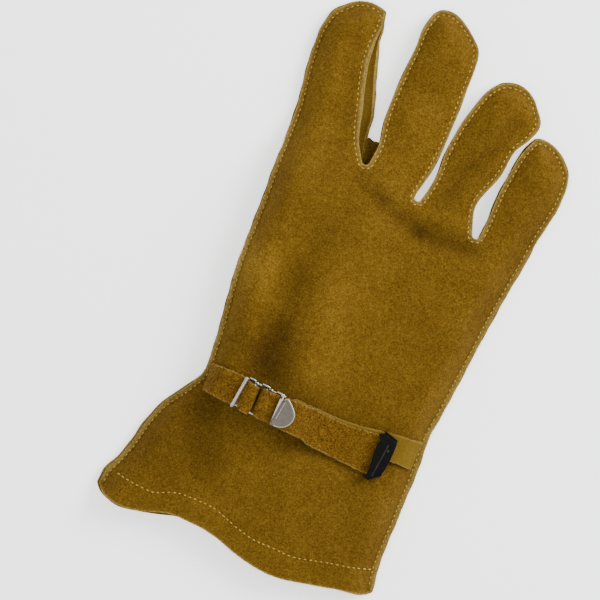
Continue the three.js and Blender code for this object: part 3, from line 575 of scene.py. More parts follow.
def turnOutwards(piece):
    mesh = bmesh.new()
    mesh.from_mesh(piece.data)
    bmesh.ops.recalc_face_normals(mesh, faces=mesh.faces)
    mesh.to_mesh(piece.data)
    mesh.free()


def smoothShade(piece, angle=45):
    choose(piece)
    bpy.ops.object.shade_smooth_by_angle(angle=math.radians(angle))
    piece.select_set(False)


def leatherSheet(name, loops, height, spacing, rings):
    plan, faces = fillPlan(loops, spacing, rings)
    edge = farther(plan, np.vstack([loop[:, :2] for loop in loops]))
    points = np.column_stack([plan, height(plan)])
    # pale leather shows on the cut edge and, less and less towards the fingers, on the seam's flange
    band = mix(0.50, 0.14, smooth(hand["handLength"] * 0.7, hand["handLength"] * 1.2, plan[:, 1]))
    band = band * smooth(-8, 2, plan[:, 1] - hemHeight(plan[:, 0]) - 8)
    rim = np.maximum(np.clip(1 - edge / 0.8, 0, 1) * 0.9, band * (1 - smooth(1.4, 2.4, edge)))
    # the shade attribute carries painted shade and painted light for the suede's colour
    piece = makeObject(name, points, faces, {"rim": rim, "shade": foldShade(plan)})
    for material in (suede, suedeCut):
        piece.data.materials.append(material)
    solid = piece.modifiers.new("solid", "SOLIDIFY")
    solid.thickness = leather["wall"] * mm
    solid.offset = -1
    solid.material_offset_rim = 1
    applyModifiers(piece)
    smoothShade(piece)
    return piece


# Painted shade and painted light: spots where the leather is darker or lighter than the rest because creases
# and sides fall into shade or catch the light: across, along, radius, darkness (a negative darkness is
# painted light)
paintedShadeAndLight = [
    (-61, -40, 22, 0.2), (-34, 24, 11, 0.34), (-26, 16, 11, 0.18), (-55, 62, 14, -0.34),
    (-56, 160, 18, -0.1), (29, 158, 18, 0.08), (24, 131, 8, 0.12), (62, 138, 22, 0.14),
    (-4, 158, 11, -0.12), (-24, -18, 12, -0.14), (46, -45, 20, 0.08), (58, 60, 18, 0.06),
    (-21, 121, 6, 0.12), (-10, 116.5, 6, 0.16), (2.5, 111.5, 6, 0.2), (14, 108.6, 6, 0.2),
    (26, 108, 6, 0.24), (38, 110, 6, 0.2), (-40, 150, 6, 0.12), (-46, 168, 6, 0.1),
]
plainShade = 0.35


# The shade attribute paints shade into the leather's colour along the folds and creases, and adds the painted
# shade and light spots
def foldShade(p):
    # painted shade: depth of fold that would turn the leather from its own colour to nearly black
    darkest = 17
    total = plainShade + (foldDepth(p) - cinchDepth(p) * 0.5) / darkest
    for x, y, radius, darkness in paintedShadeAndLight:
        total = total + darkness * np.exp(-((p[:, 0] - x) ** 2 + (p[:, 1] - y) ** 2) / radius ** 2)
    return np.clip(total, 0, 1)


# Materials. Every pattern follows the object's own coordinates; sizes are in mm.

def nodeMaker(name, constants):
    material = bpy.data.materials.new(name)
    material.use_nodes = True
    tree = material.node_tree
    shader = tree.nodes["Principled BSDF"]
    for key, value in constants.items():
        shader.inputs[key].default_value = value
    spot = tree.nodes.new("ShaderNodeTexCoord")

    def add(kind, inputs=None, **settings):
        node = tree.nodes.new(kind)
        for key, value in settings.items():
            setattr(node, key, value)
        for key, value in (inputs or {}).items():
            if isinstance(value, bpy.types.NodeSocket):
                tree.links.new(value, node.inputs[key])
            else:
                node.inputs[key].default_value = value
        return node

    def noise(size, detail=2.0, roughness=0.55, distortion=0.0):
        return add("ShaderNodeTexNoise", {"Vector": spot.outputs["Object"], "Scale": 1000.0 / size,
                                          "Detail": detail, "Roughness": roughness,
                                          "Distortion": distortion}).outputs["Fac"]

    def ramp(value, stops):
        node = add("ShaderNodeValToRGB", {"Fac": value})
        row = node.color_ramp.elements
        while len(row) < len(stops):
            row.new(0.5)
        for element, (at, colour) in zip(row, stops):
            element.position = at
            element.color = (*colour, 1)
        return node.outputs["Color"]

    def blend(share, a, b, kind="MIX"):
        node = add("ShaderNodeMix", data_type="RGBA", blend_type=kind)
        for key, value in (("Factor", share), ("A", a), ("B", b)):
            socket = [s for s in node.inputs if s.name == key and (s.type == "RGBA" or key == "Factor")][0]
            if isinstance(value, bpy.types.NodeSocket):
                tree.links.new(value, socket)
            else:
                socket.default_value = value if key == "Factor" else (*value, 1)
        return [s for s in node.outputs if s.type == "RGBA"][0]

    def attribute(name):
        return add("ShaderNodeAttribute", attribute_name=name).outputs["Fac"]

    def bump(height, strength, distance, before=None):
        inputs = {"Height": height, "Strength": strength, "Distance": distance}
        if before is not None:
            inputs["Normal"] = before
        return add("ShaderNodeBump", inputs).outputs["Normal"]

    def link(value, key):
        tree.links.new(value, shader.inputs[key])

    return material, noise, ramp, blend, attribute, bump, link


suedeLook = {
    "constants": {"Roughness": 0.95, "Specular IOR Level": 0.05, "Sheen Weight": 0.03, "Sheen Roughness": 0.5,
                  "Sheen Tint": (0.7, 0.42, 0.08, 1)},
    # the noise's size, detail, roughness and distortion, and the factors that it multiplies the colour by
    "nubs": ((2.6, 3, 0.7), [(0.34, (0.84, 0.82, 0.78)), (0.52, (1, 1, 1)), (0.68, (1.13, 1.15, 1.2))]),
    "grain": ((0.8, 3, 0.8), [(0.32, (0.44, 0.39, 0.32)), (0.50, (1, 1, 1)), (0.68, (1.62, 1.70, 2.0))]),
    "cloud": ((15, 3, 0.6, 0.4), [(0.30, (0.90, 0.88, 0.84)), (0.52, (1, 1, 1)), (0.74, (1.09, 1.11, 1.16))]),
    # painted shade and painted light: how the shade attribute lightens or darkens the colour
    "tone": [(0.0, (1.55, 1.62, 1.75)), (plainShade, (1, 1, 1)), (1.0, (0.36, 0.33, 0.30))],
    # noise, strength and height in metres of each bump
    "soft": ((3.0, 3, 0.6), 0.25, 0.0009), "nap": ((0.75, 3, 0.8), 0.5, 0.0004),
}


def suedeMaterial(name, middle, pale, nap=1.0, paintedShadeAndLight=True):
    material, noise, ramp, blend, attribute, bump, link = nodeMaker(name, suedeLook["constants"])
    colour = blend(attribute("rim"), middle, pale)
    for layer, strength in (("nubs", nap), ("grain", nap), ("cloud", 1)):
        pattern, stops = suedeLook[layer]
        factors = [(at, [max(1 + (c - 1) * strength, 0.02) for c in factor]) for at, factor in stops]
        colour = blend(1.0, colour, ramp(noise(*pattern), factors), "MULTIPLY")
    # painted shade and painted light from the shade attribute
    if paintedShadeAndLight:
        colour = blend(1.0, colour, ramp(attribute("shade"), suedeLook["tone"]), "MULTIPLY")
    link(colour, "Base Color")
    (softPattern, *softBump), (napPattern, *napBump) = suedeLook["soft"], suedeLook["nap"]
    soft = bump(noise(*softPattern), *softBump)
    link(bump(noise(*napPattern), *napBump, soft), "Normal")
    return material


suede = suedeMaterial("suede", (0.097, 0.0515, 0.0046), (0.25, 0.176, 0.044))
suedeCut = suedeMaterial("suede cut edge", (0.185, 0.124, 0.032), (0.25, 0.176, 0.044), paintedShadeAndLight=False)
suedePale = suedeMaterial("pale grain", (0.112, 0.068, 0.0064), (0.18, 0.115, 0.026), nap=0.35, paintedShadeAndLight=False)
suedeStrap = suedeMaterial("strap suede", (0.095, 0.0470, 0.0044), (0.17, 0.108, 0.022), nap=1.4, paintedShadeAndLight=False)
print("materials ready")


# Back of the glove

def makeBack():
    piece = leatherSheet("back", [backLoop[:-1]], backTop, 1.5,
                         [0.5, 1.1, 1.7, 2.3, 2.9, 3.7, 4.8, 6.2])
    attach(piece, "glove")
    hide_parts("back_panel")
    return piece


back = makeBack()
print("back ready", len(back.data.polygons))


# Palm side

def rolledInner():
    line = indexInner[-1].copy()
    line[:, 0] += np.interp(np.linspace(1, 0, len(line)), *curveThrough(hand["roll"], 6).T)
    return line


palmSeam = joined([leftEdge, indexInner[0], rolledInner(), crotchPart(0)] + middleRing
                  + [crotchPart(2)] + littleInner + [rightEdge])


def palmTop(p):
    near, _ = seamField(p, palmSeam)
    rise = edgeRise(near, hand["palmRound"])
    return floorHeight(p) + leather["wall"] + (leather["lift"] + 0.25 * seamGroove(near)) * (1 - rise)


def lapLine(lower=0.0):
    x = np.linspace(fingerRoots(0)[1][0], fingerRoots(3)[0][0], 80)
    first, last = knuckles[0], knuckles[-1]
    share = (x - first[0]) / (last[0] - first[0])
    straight = mix(handLefts[-1][1], handRights[-1][1], share)
    dip = 0.88 * (np.interp(x, *np.array(knuckles).T) - mix(first[1], last[1], share))
    return np.column_stack([x, straight + dip - lower])


def closedLoop(parts, spacing=0.9):
    line = joined([np.asarray(part)[:, :2] for part in parts])
    return evenly(closeUp(line), spacing)[:-1]


thumbholeMiddle = thumb["start"] + thumb["holeLength"] * 0.555 + 2.4
palmLoop = closedLoop([leftEdge, indexInner[0], rolledInner(), lapLine()] + littleInner
                      + [rightEdge, hem[::-1]])
frontRings = [0.6, 1.3, 2.2, 3.2, 4.6, 6.4]  # distances from the edge of the points along it
frontSpacing = 2.2
# edges that aren't cut quite true: shortest and longest wave, number of waves
untrue = (9, 30, 5)


def makePalm():
    angle = np.linspace(0, 2 * math.pi, 90)[:-1]
    hole = np.column_stack([thumb["across"] + thumb["holeWidth"] / 2 * np.cos(angle),
                            thumbholeMiddle + thumb["holeLength"] / 2 * np.sin(angle)])
    # the palm reaches a little past the back, most at the left of the cuff
    past = 0.6 * (1 - smooth(-14, -2, palmLoop[:, 1])) * (1 - smooth(-52, -40, palmLoop[:, 0]))
    loop = palmLoop + inwardNormals(palmLoop) * (waves(palmLoop, *untrue, 4) * 0.28 - 0.45 - past)[:, None]
    piece = leatherSheet("palm", [loop, hole], palmTop, frontSpacing, frontRings)
    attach(piece, "glove")
    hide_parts("palm_panel")


def makeFingerFront():
    lapEnd = lapLine()[:, 1].max()

    def height(p):
        lift = (leather["wall"] + 0.7) * (1 - smooth(lapEnd, knuckles[3][1], p[:, 1]))
        return palmTop(p) + lift

    start = lapLine(4.0)[::-1]
    web = evenly(curveThrough(hand["web"], 8), 0.8)
    side = middleRing[0][middleRing[0][:, 1] > web[-1, 1]]
    loop = closedLoop([web, side] + middleRing[1:] + [crotchPart(2), start])
    loop = loop + inwardNormals(loop) * (waves(loop, *untrue, 14)[:, None] * 0.22 - 0.25)
    piece = leatherSheet("fingerFront", [loop], height, frontSpacing, frontRings)
    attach(piece, "glove")
    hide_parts("finger_front")


makePalm()
makeFingerFront()
print("palm side ready")


# Swept pieces: rings of points joined into a closed body. A ring has 11 points above and 11 below, and
# its sides 10 and 21 are the cut edges.

ringSides = np.arange(22)
cutSides = np.isin(ringSides, (10, 21))


def sweep(name, rings, materials, sideMaterials, rim=None):
    rings = np.asarray(rings)
    count, size = rings.shape[:2]
    faces, kinds = [], []
    for r in range(1, count):
        for i in range(size):
            j = (i + 1) % size
            faces.append(((r - 1) * size + i, (r - 1) * size + j, r * size + j, r * size + i))
            kinds.append(int(sideMaterials[i]))
    half = size // 2
    for i in range(1, half):
        quad = (i - 1, i, size - 1 - i, size - i)
        faces.append(quad[::-1])
        faces.append(tuple(k + (count - 1) * size for k in quad))
        kinds += [len(materials) - 1] * 2
    shades = {"rim": np.tile(np.r_[rim, rim[::-1]], count)} if rim else None
    piece = makeObject(name, rings.reshape(-1, 3), faces, shades)
    for material in materials:
        piece.data.materials.append(material)
    piece.data.polygons.foreach_set("material_index", kinds)
    turnOutwards(piece)
    smoothShade(piece, 50)
    return piece


def ribbonProfile(across, up, thickness):
    line = np.column_stack([across, up])
    half = leftNormals(np.gradient(line, axis=0)) * thickness / 2
    return np.vstack([line + half, (line - half)[::-1]])


strip = {
    "trim": 0.07, "thickness": 1.15, "lowest": 2.9, "corner": 1.0, "cornerShare": 0.22, "wobble": 0.35,
    # from the seam above, across the wall and back to the seam below: how far in from the seam
    "across": [0.05, 0.8, 1.6, 2.2, 2.55, 2.3, 2.55, 2.2, 1.6, 0.8, 0.05],
    # how far from the top and from the bottom, and how much of the corner comes on top
    "inset": np.array([0.6, 0.62, 0.66, 0.75, 0.65]), "turn": np.array([0, 0, 0, 0.3, 1]),
}


def makeFourchette(f, name):
    lefts, rights = fingerPart(f, left=False)[-1], fingerPart(f + 1, right=False)[0]
    lefts = lefts[int(len(lefts) * strip["trim"]):]
    rights = rights[:int(len(rights) * (1 - strip["trim"]))]
    top = joined([lefts, crotchPart(f), rights])
    bottom = top.copy()
    if f == 0:
        lower = rolledInner()[int(len(indexInner[-1]) * strip["trim"]):]
        bottom = joined([lower, crotchPart(f), rights])
    inner = -leftNormals(relaxed(np.gradient(top[:, :2], axis=0), 6))
    wobble = waves(top, 12, 40, 5, 20 + f) * strip["wobble"]
    rings = []
    floor = floorHeight(top)
    for k in range(len(top)):
        low = floor[k] + leather["wall"] + leather["lift"] + 0.05
        high = low + max(top[k, 2], strip["lowest"]) - 0.1
        turn = strip["turn"] * min(strip["corner"], (high - low) * strip["cornerShare"])
        across = np.array(strip["across"])
        across[5] += wobble[k]
        up = np.r_[high - strip["inset"] - turn, (low + high) / 2, (low + strip["inset"] + turn)[::-1]]
        profile = ribbonProfile(across, up, strip["thickness"])
        share = np.clip((profile[:, 1] - low) / (high - low), 0, 1)[:, None]
        base = bottom[k, :2] + (top[k, :2] - bottom[k, :2]) * share
        spot = base + inner[k] * profile[:, :1]
        rings.append(np.column_stack([spot, profile[:, 1]]))
    piece = sweep(camelName(name), rings, [fourchetteLeather, suedeCut], cutSides)
    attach(piece, "glove")
    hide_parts(name)


fourchetteLeather = suedeMaterial("fourchette suede", (0.078, 0.043, 0.0040), (0.17, 0.11, 0.028), nap=0.6,
                                  paintedShadeAndLight=False)
for f, name in enumerate(("fourchette_index_middle", "fourchette_middle_ring", "fourchette_ring_little")):
    makeFourchette(f, name)
print("fourchettes ready")


# Thumb, folded under the palm

def thumbSide(side):
    corner, size = (thumb["across"], thumb["start"]), (thumb["width"], thumb["length"])
    return [np.array([corner[0] + (sideways + side * half) * size[0], corner[1] + along * size[1]])
            for along, half, sideways in thumb["sections"]]


def thumbLoop(fromAlong=None):
    left, right = curveThrough(thumbSide(-1), 10), curveThrough(thumbSide(1), 10)
    u = np.linspace(0, 1, 12)[1:-1, None]
    bow = np.array([0, 1]) * thumb["tipRound"] * u * (1 - u)
    start = right[0] + (left[0] - right[0]) * u - bow
    tip = left[-1] + (right[-1] - left[-1]) * u + bow
    if fromAlong is not None:
        left, right = left[left[:, 1] > fromAlong], right[right[:, 1] > fromAlong]
        start = right[0] + (left[0] - right[0]) * u
    return closedLoop([left, tip, right[::-1], start], 0.9)


thumbCover = thumbholeMiddle + thumb["holeLength"] / 2 - 3.4


def thumbFlange(y):
    high = thumb["room"] - 0.45
    middle = mix(high - 1.6, thumb["seam"], smooth(thumbCover, thumbCover + thumb["length"] * 0.3, y))
    return mix(high, middle, smooth(thumbCover - 4.8, thumbCover - 0.3, y))


def makeThumb():
    whole = thumbLoop()
    upper = thumbLoop(thumbCover)

    def rise(p):
        return edgeRise(farther(p, whole), hand["palmRound"])

    def lowerHalf(p):
        return mix(thumbFlange(p[:, 1]), leather["wall"], rise(p))

    def upperHalf(p):
        roof = thumb["room"] - 0.6 - leather["wall"]
        return mix(thumbFlange(p[:, 1]) + 0.3, roof, rise(p)) + leather["wall"]

    for name, loop, height in (("thumb_front", whole, lowerHalf), ("thumb_back", upper, upperHalf)):
        piece = leatherSheet(camelName(name), [loop], height, 2.0, frontRings)
        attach(piece, "glove")
        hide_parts(name)


makeThumb()
print("thumb ready")


# Strap. Edges give x, lower edge and upper edge of each layer, in mm of the plan.

strap = {
    "leather": 1.5, "gap": 0.12, "rough": 0.26, "rightEnd": 55.3, "tabEnd": -55.3, "overEnd": 42,
    "keeperAt": 40,
    "lower": [(-22, -7.0, 8.4), (-15, -6.8, 8.4), (7.9, -7.4, 7.2), (20.4, -7.0, 7.3), (35, -4.6, 9.8),
              (44.4, -2.9, 10.8), (55.8, -3.0, 11.7), (57.6, -3.0, 11.9)],
    "wide": [(-27, -7.6, 6.9), (-18.6, -8.4, 6.6), (-9.4, -9.0, 7.3), (-1.8, -9.3, 7.0), (3.2, -10.9, 6.6),
             (15.8, -11.9, 5.6), (28.8, -13.0, 6.8), (36.5, -13.1, 7.8), (41.5, -13.2, 8.0)],
    "anchor": [(-57.6, -5.0, 8.4), (-52.2, -5.7, 8.9), (-46, -6.4, 9.2), (-38.3, -6.8, 8.7),
               (-33, -7.9, 7.0), (-29, -8.6, 6.2)],
}
innerBar, barGap = 0.9, 0.3
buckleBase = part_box("buckle_frame")[0][2] / mm - barGap
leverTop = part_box("buckle_lever")[1][2] / mm
bend = innerBar + barGap + strap["leather"] / 2
underLayer = buckleBase + barGap + strap["leather"] / 2
barHeight = underLayer + bend
overLayer = barHeight + bend
tabBar = -39 + 25.5 * 0.27
strapBar = tabBar + 2 * innerBar + 2 * strap["leather"] + 1.5


def restOn(x, low, high):
    x = np.asarray(x, float)
    y = np.linspace(low, high, 9)
    p = np.array([(a, b) for a in x for b in y])
    return backTop(p).reshape(len(x), len(y)).max(axis=1)


def barArc(x, fromDegrees, toDegrees):
    angle = np.radians(np.linspace(fromDegrees, toDegrees, 13))
    return np.column_stack([x + bend * np.cos(angle), barHeight + bend * np.sin(angle)])


def edgeTable(name, x):
    at, low, high = np.array(strap[name]).T
    return np.interp(x, at, low), np.interp(x, at, high)


def strapRings(route, lows, highs, seed):
    route = np.asarray(route)
    # under the top layer the leather passes between the rails
    between = smooth(-38.6, -37.4, route[:, 0]) * (1 - smooth(-14, -10, route[:, 0]))
    between = between * (1 - smooth(barHeight + 0.5, overLayer - 0.3, route[:, 1]))
    railLow = np.interp(route[:, 0], *np.array(buckle["lowerRail"]).T) + 0.8
    lows = mix(lows, np.maximum(lows, railLow), between)
    highs = mix(highs, np.minimum(highs, 6.5), between)
    normal = leftNormals(np.gradient(route, axis=0))
    random = np.random.default_rng(seed)
    rough = relaxed(random.normal(0, strap["rough"], (len(route), 2)), 2)
    half = strap["leather"] / 2
    rings = []
    for k, (x, z) in enumerate(route):
        low, high = lows[k] + rough[k, 0], highs[k] + rough[k, 1]
        width = high - low
        # eleven points across, closer at both edges, where the leather is a little thinner
        shares = np.array([0, 0.35 / width, 1.1 / width, 0.16, 0.33, 0.5, 0.67, 0.84, 1 - 1.1 / width,
                           1 - 0.35 / width, 1])
        y = low + width * shares
        thick = half * np.array([0.72, 0.93, 1, 1, 1, 1, 1, 1, 1, 0.93, 0.72])
        curl = 0.35 * (np.abs(shares - 0.5) * 2) ** 6
        above = np.column_stack([x + normal[k, 0] * thick, y, z + normal[k, 1] * thick + curl])
        below = np.column_stack([x - normal[k, 0] * thick, y, z - normal[k, 1] * thick + curl])
        rings.append(np.vstack([above, below[::-1]]))
    return rings


strapRim = [0.9, 0.4, 0, 0, 0, 0, 0, 0, 0, 0.4, 0.9]


def strapFinish(piece, node):
    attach(piece, "glove")
    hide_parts(node)


def makeAnchor():
    x = np.arange(strap["tabEnd"], -46, 0.8)
    z = restOn(x, -6.5, 8.5) + strap["gap"] + strap["leather"] / 2
    z[0:2] -= 0.4
    free = np.column_stack([x, np.maximum(z, mix(z, underLayer, smooth(-56, -47, x)))])
    climb = [(-43.5, underLayer + 0.1), (-39.6, underLayer + 0.6), (-36.6, mix(underLayer, overLayer, 0.72)),
             (-34.3, overLayer - 0.05)]
    keys = np.vstack([free, climb, barArc(tabBar, 88, -90), [(tabBar - 2.5, underLayer)]])
    route = evenly(curveThrough(keys, 5), 0.6)
    lows, highs = edgeTable("anchor", route[:, 0])
    rings = strapRings(route, lows, highs, 31)
    piece = sweep("anchorTab", rings, [suedeStrap, suedeCut], cutSides, strapRim)
    strapFinish(piece, "strap_anchor")
    return rings


def makeStrap():
    right = np.arange(strap["rightEnd"], -10, -1.2)
    z = restOn(right, -9, 9) + strap["gap"] + strap["leather"] / 2
    z = relaxed(z[:, None], 4)[:, 0] + bell(right - strap["keeperAt"], 5.5) * 1.3  # lifted in the keeper
    z = mix(z, underLayer, 1 - smooth(-16, -4, right))
    lower = np.column_stack([right, z])
    over = np.arange(-12, strap["overEnd"], 1.2)
    zOver = np.interp(over, lower[::-1, 0], lower[::-1, 1]) + strap["leather"] + 0.15
    zOver = mix(overLayer, zOver, smooth(-12, 4, over))
    zOver -= 0.25 * bell(over - 14, 9)
    upper = np.column_stack([over, zOver])
    keys = np.vstack([lower, [(-18, underLayer), (-22, underLayer)], barArc(strapBar, -92, -268),
                      [(strapBar + 4, overLayer), (-18, overLayer)], upper])
    route = evenly(curveThrough(keys, 4), 0.7)
    turn = int(np.argmin(route[:, 0]))
    lows, highs = edgeTable("lower", route[:, 0])
    lowsWide, highsWide = edgeTable("wide", route[:, 0])
    share = smooth(turn - 8, turn + 8, np.arange(len(route)))
    rings = strapRings(route, mix(lows, lowsWide, share), mix(highs, highsWide, share), 32)
    # the strip's own top is pale grain below and becomes its underside where it folds back
    piece = sweep("wristStrap", rings, [suedeStrap, suedePale, suedeCut],
                  np.where(cutSides, 2, ringSides > 10), strapRim)
    strapFinish(piece, "strap")
    return rings


# Metal and plastic

def steelMaterial(name, colour, roughness, scratch):
    material, noise, ramp, blend, attribute, bump, link = nodeMaker(name, {"Metallic": 1.0})
    link(ramp(noise(2.5, 3, 0.6), [(0.35, [c * 0.82 for c in colour]), (0.65, colour)]), "Base Color")
    rough = ramp(noise(1.2, 3, 0.6), [(0.3, (roughness * 0.8,) * 3), (0.7, (roughness * 1.3,) * 3)])
    link(rough, "Roughness")
    link(bump(noise(0.7, 2, 0.6), scratch, 0.0001), "Normal")
    return material


def plasticMaterial(name, dark, pale):
    constants = {"Roughness": 0.34, "Specular IOR Level": 0.07}
    material, noise, ramp, blend, attribute, bump, link = nodeMaker(name, constants)
    stops = [(at, (grey, grey, grey * 0.85)) for at, grey in ((0.3, dark), (0.7, pale))]
    link(ramp(noise(3, 2, 0.5), stops), "Base Color")
    link(bump(noise(0.5, 2, 0.6), 0.2, 0.0001), "Normal")
    return material


steel = steelMaterial("bright steel", (0.42, 0.40, 0.36), 0.26, 0.1)
steelDull = steelMaterial("dull steel", (0.125, 0.112, 0.095), 0.45, 0.25)
# nearly black steel: painted shade in the buckle's slots
steelPaintedShade = steelMaterial("steel with painted shade", (0.035, 0.031, 0.027), 0.5, 0.25)
plastic = plasticMaterial("black plastic", 0.0006, 0.0020)
# paler plastic: painted highlight on the keeper's raised parts
plasticPaintedHighlight = plasticMaterial("plastic with painted highlight", 0.010, 0.024)


def bevelled(piece, width):
    edge = piece.modifiers.new("edge", "BEVEL")
    edge.width = width * mm
    edge.segments = 3
    edge.limit_method = "ANGLE"
    edge.angle_limit = math.radians(50)
    applyModifiers(piece)
    return piece


def plate(name, outline, low, high, bevel):
    bpy.ops.object.select_all(action="DESELECT")
    bpy.ops.mesh.primitive_circle_add(vertices=len(outline), radius=1, fill_type="NGON")
    piece = bpy.context.object
    piece.name = name
    for vertex, (x, y) in zip(piece.data.vertices, outline):
        vertex.co = ((x + shift[0]) * mm, (y + shift[1]) * mm, low * mm)
    bpy.ops.object.mode_set(mode="EDIT")
    bpy.ops.mesh.select_all(action="SELECT")
    bpy.ops.mesh.extrude_region_move(TRANSFORM_OT_translate={"value": (0, 0, (high - low) * mm)})
    bpy.ops.mesh.select_all(action="SELECT")
    bpy.ops.mesh.normals_make_consistent(inside=False)
    bpy.ops.object.mode_set(mode="OBJECT")
    return bevelled(piece, bevel)


def rod(name, a, b, radius, bevel, vertices):
    a, b = (np.array(a) + shift) * mm, (np.array(b) + shift) * mm
    bpy.ops.object.select_all(action="DESELECT")
    bpy.ops.mesh.primitive_cylinder_add(vertices=vertices, radius=radius * mm,
                                        depth=float(np.linalg.norm(b - a)))
    piece = bpy.context.object
    piece.name = name
    piece.rotation_euler = Vector(b - a).to_track_quat("Z", "Y").to_euler()
    piece.location = (a + b) / 2
    bpy.ops.object.transform_apply(location=True, rotation=True, scale=True)
    return bevelled(piece, bevel)


def joinPieces(name, pieces, material):
    bpy.ops.object.select_all(action="DESELECT")
    for piece in pieces:
        if not piece.data.materials:
            piece.data.materials.append(material)
        piece.select_set(True)
    bpy.context.view_layer.objects.active = pieces[0]
    bpy.ops.object.join()
    piece = bpy.context.object
    piece.name = name
    piece.data.name = name
    smoothShade(piece, 40)
    return piece


def ribbonOutline(line, width):
    return ribbonProfile(*np.asarray(line, float).T, width)


buckle = {
    # inside: from where to where the inner bars reach, post: radius of the posts, lug: half its sides
    "railThickness": 0.8, "barRadius": 0.95, "inside": (-6.2, 7.6), "post": 0.8,
    "pin": 0.62, "pinReach": 7.4, "lug": (1.3, 0.5),
    "leftBar": ((-37.1, 9.0), (-39.0, -7.2)),
    "upperRail": [(-37.0, 8.3), (-33.0, 8.2), (-28.0, 7.9), (-22.0, 7.4), (-15.8, 7.0)],
    "lowerRail": [(-38.4, -5.9), (-30.0, -6.9), (-22.0, -7.1), (-15.6, -7.1)],
    # lugs stand up from the upper rail, each with a slot whose shade is painted on a nearly black shelf, and
    # a step leads down from each to the next
    "lugs": [((-35.9, 9.3), (-32.6, 9.1)), ((-28.9, 8.9), (-24.7, 8.5)), ((-20.8, 8.0), (-16.6, 7.6))],
    "steps": [((-31.9, 8.5), (-30.6, 7.6)), ((-24.0, 8.0), (-22.6, 7.1))],
}


def makeBuckleFrame():
    top = barHeight + 3.2
    base = buckleBase + 0.3
    parts = []
    for key, high in (("upperRail", top - 2.6), ("lowerRail", overLayer - strap["leather"] / 2 - 0.25)):
        line = evenly(np.array(buckle[key]), 0.8)
        parts.append(plate("rail", ribbonOutline(line, buckle["railThickness"]), base, high, 0.2))
    for a, b in buckle["lugs"]:
        a, b = np.array(a), np.array(b)
        along = (b - a) / np.linalg.norm(b - a)
        side = np.array([along[1], -along[0]])
        parts.append(rod("lug", (*a, top - 0.7), (*b, top - 0.7), 0.5, 0.2, 14))
        parts.append(rod("lug", (*b, top - 0.7), (*(b + side * 1.3), top - 1.3), 0.42, 0.15, 12))
        # under each lug a shelf of nearly black steel paints the shade in the lug's slot
        shelf = plate("shelf", ribbonOutline(mix(a, b, np.linspace(0, 1, 6)[:, None]) + side * 0.7, 1.0),
                      base + 0.5, top - 1.9, 0.2)
        shelf.data.materials.append(steelPaintedShade)
        parts.append(shelf)
    for a, b in buckle["steps"]:
        parts.append(rod("step", (*a, top - 1.6), (*b, top - 2.0), 0.6, 0.25, 14))
    (x0, y0), (x1, y1) = buckle["leftBar"]
    height = overLayer + strap["leather"] / 2 + buckle["barRadius"] - 0.25
    parts.append(rod("bar", (x0, y0, height), (x1, y1, height), buckle["barRadius"], 0.35, 28))
    for x, y in ((x0, y0 - 0.7), (x1, y1 + 0.3)):
        parts.append(rod("post", (x, y, base + 1), (x, y, height), buckle["post"], 0.2, 16))
    low, high = buckle["inside"]
    for x in (tabBar, strapBar):
        parts.append(rod("bar", (x, low, barHeight), (x, high, barHeight), innerBar, 0.2, 20))
    reach, (w, h) = buckle["pinReach"], buckle["lug"]
    parts.append(rod("pin", (pinX, -reach, pinHeight), (pinX, reach, pinHeight), buckle["pin"], 0.15, 16))
    for y in (-7.3, 7.2):
        lug = [(pinX - w, y - h), (pinX + w, y - h), (pinX + w, y + h), (pinX - w, y + h)]
        parts.append(plate("lug", lug, base + 1, pinHeight + 0.9, 0.2))
    piece = joinPieces("buckleSteel", parts, steel)
    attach(piece, "glove")
    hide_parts("buckle_frame")


lever = {
    "outline": [(-15.3, 6.6), (-16.3, 5.4), (-16.9, 3.2), (-17.4, 0.0), (-17.9, -3.6), (-18.4, -7.2),
                (-18.2, -8.1), (-17.3, -8.3), (-15.2, -8.3), (-12.8, -7.9), (-10.5, -6.6), (-8.8, -4.6),
                (-8.0, -2.0), (-8.3, 0.5), (-9.6, 2.6), (-11.6, 4.7), (-13.4, 6.3), (-14.4, 6.9)],
    "thick": 1.1, "rim": 0.22, "slope": 0.22, "dish": 0.2, "tube": 1.42, "dullBelow": 5.5,
    "crease": ((-15.2, 4.6), (-16.4, -4.6)),
}
pinPlace = [joint["pos_m"] for joint in frame["joints"] if joint["name"] == "lever_hinge"][0]
pinX, pinHeight = pinPlace[0] / mm - shift[0], pinPlace[2] / mm


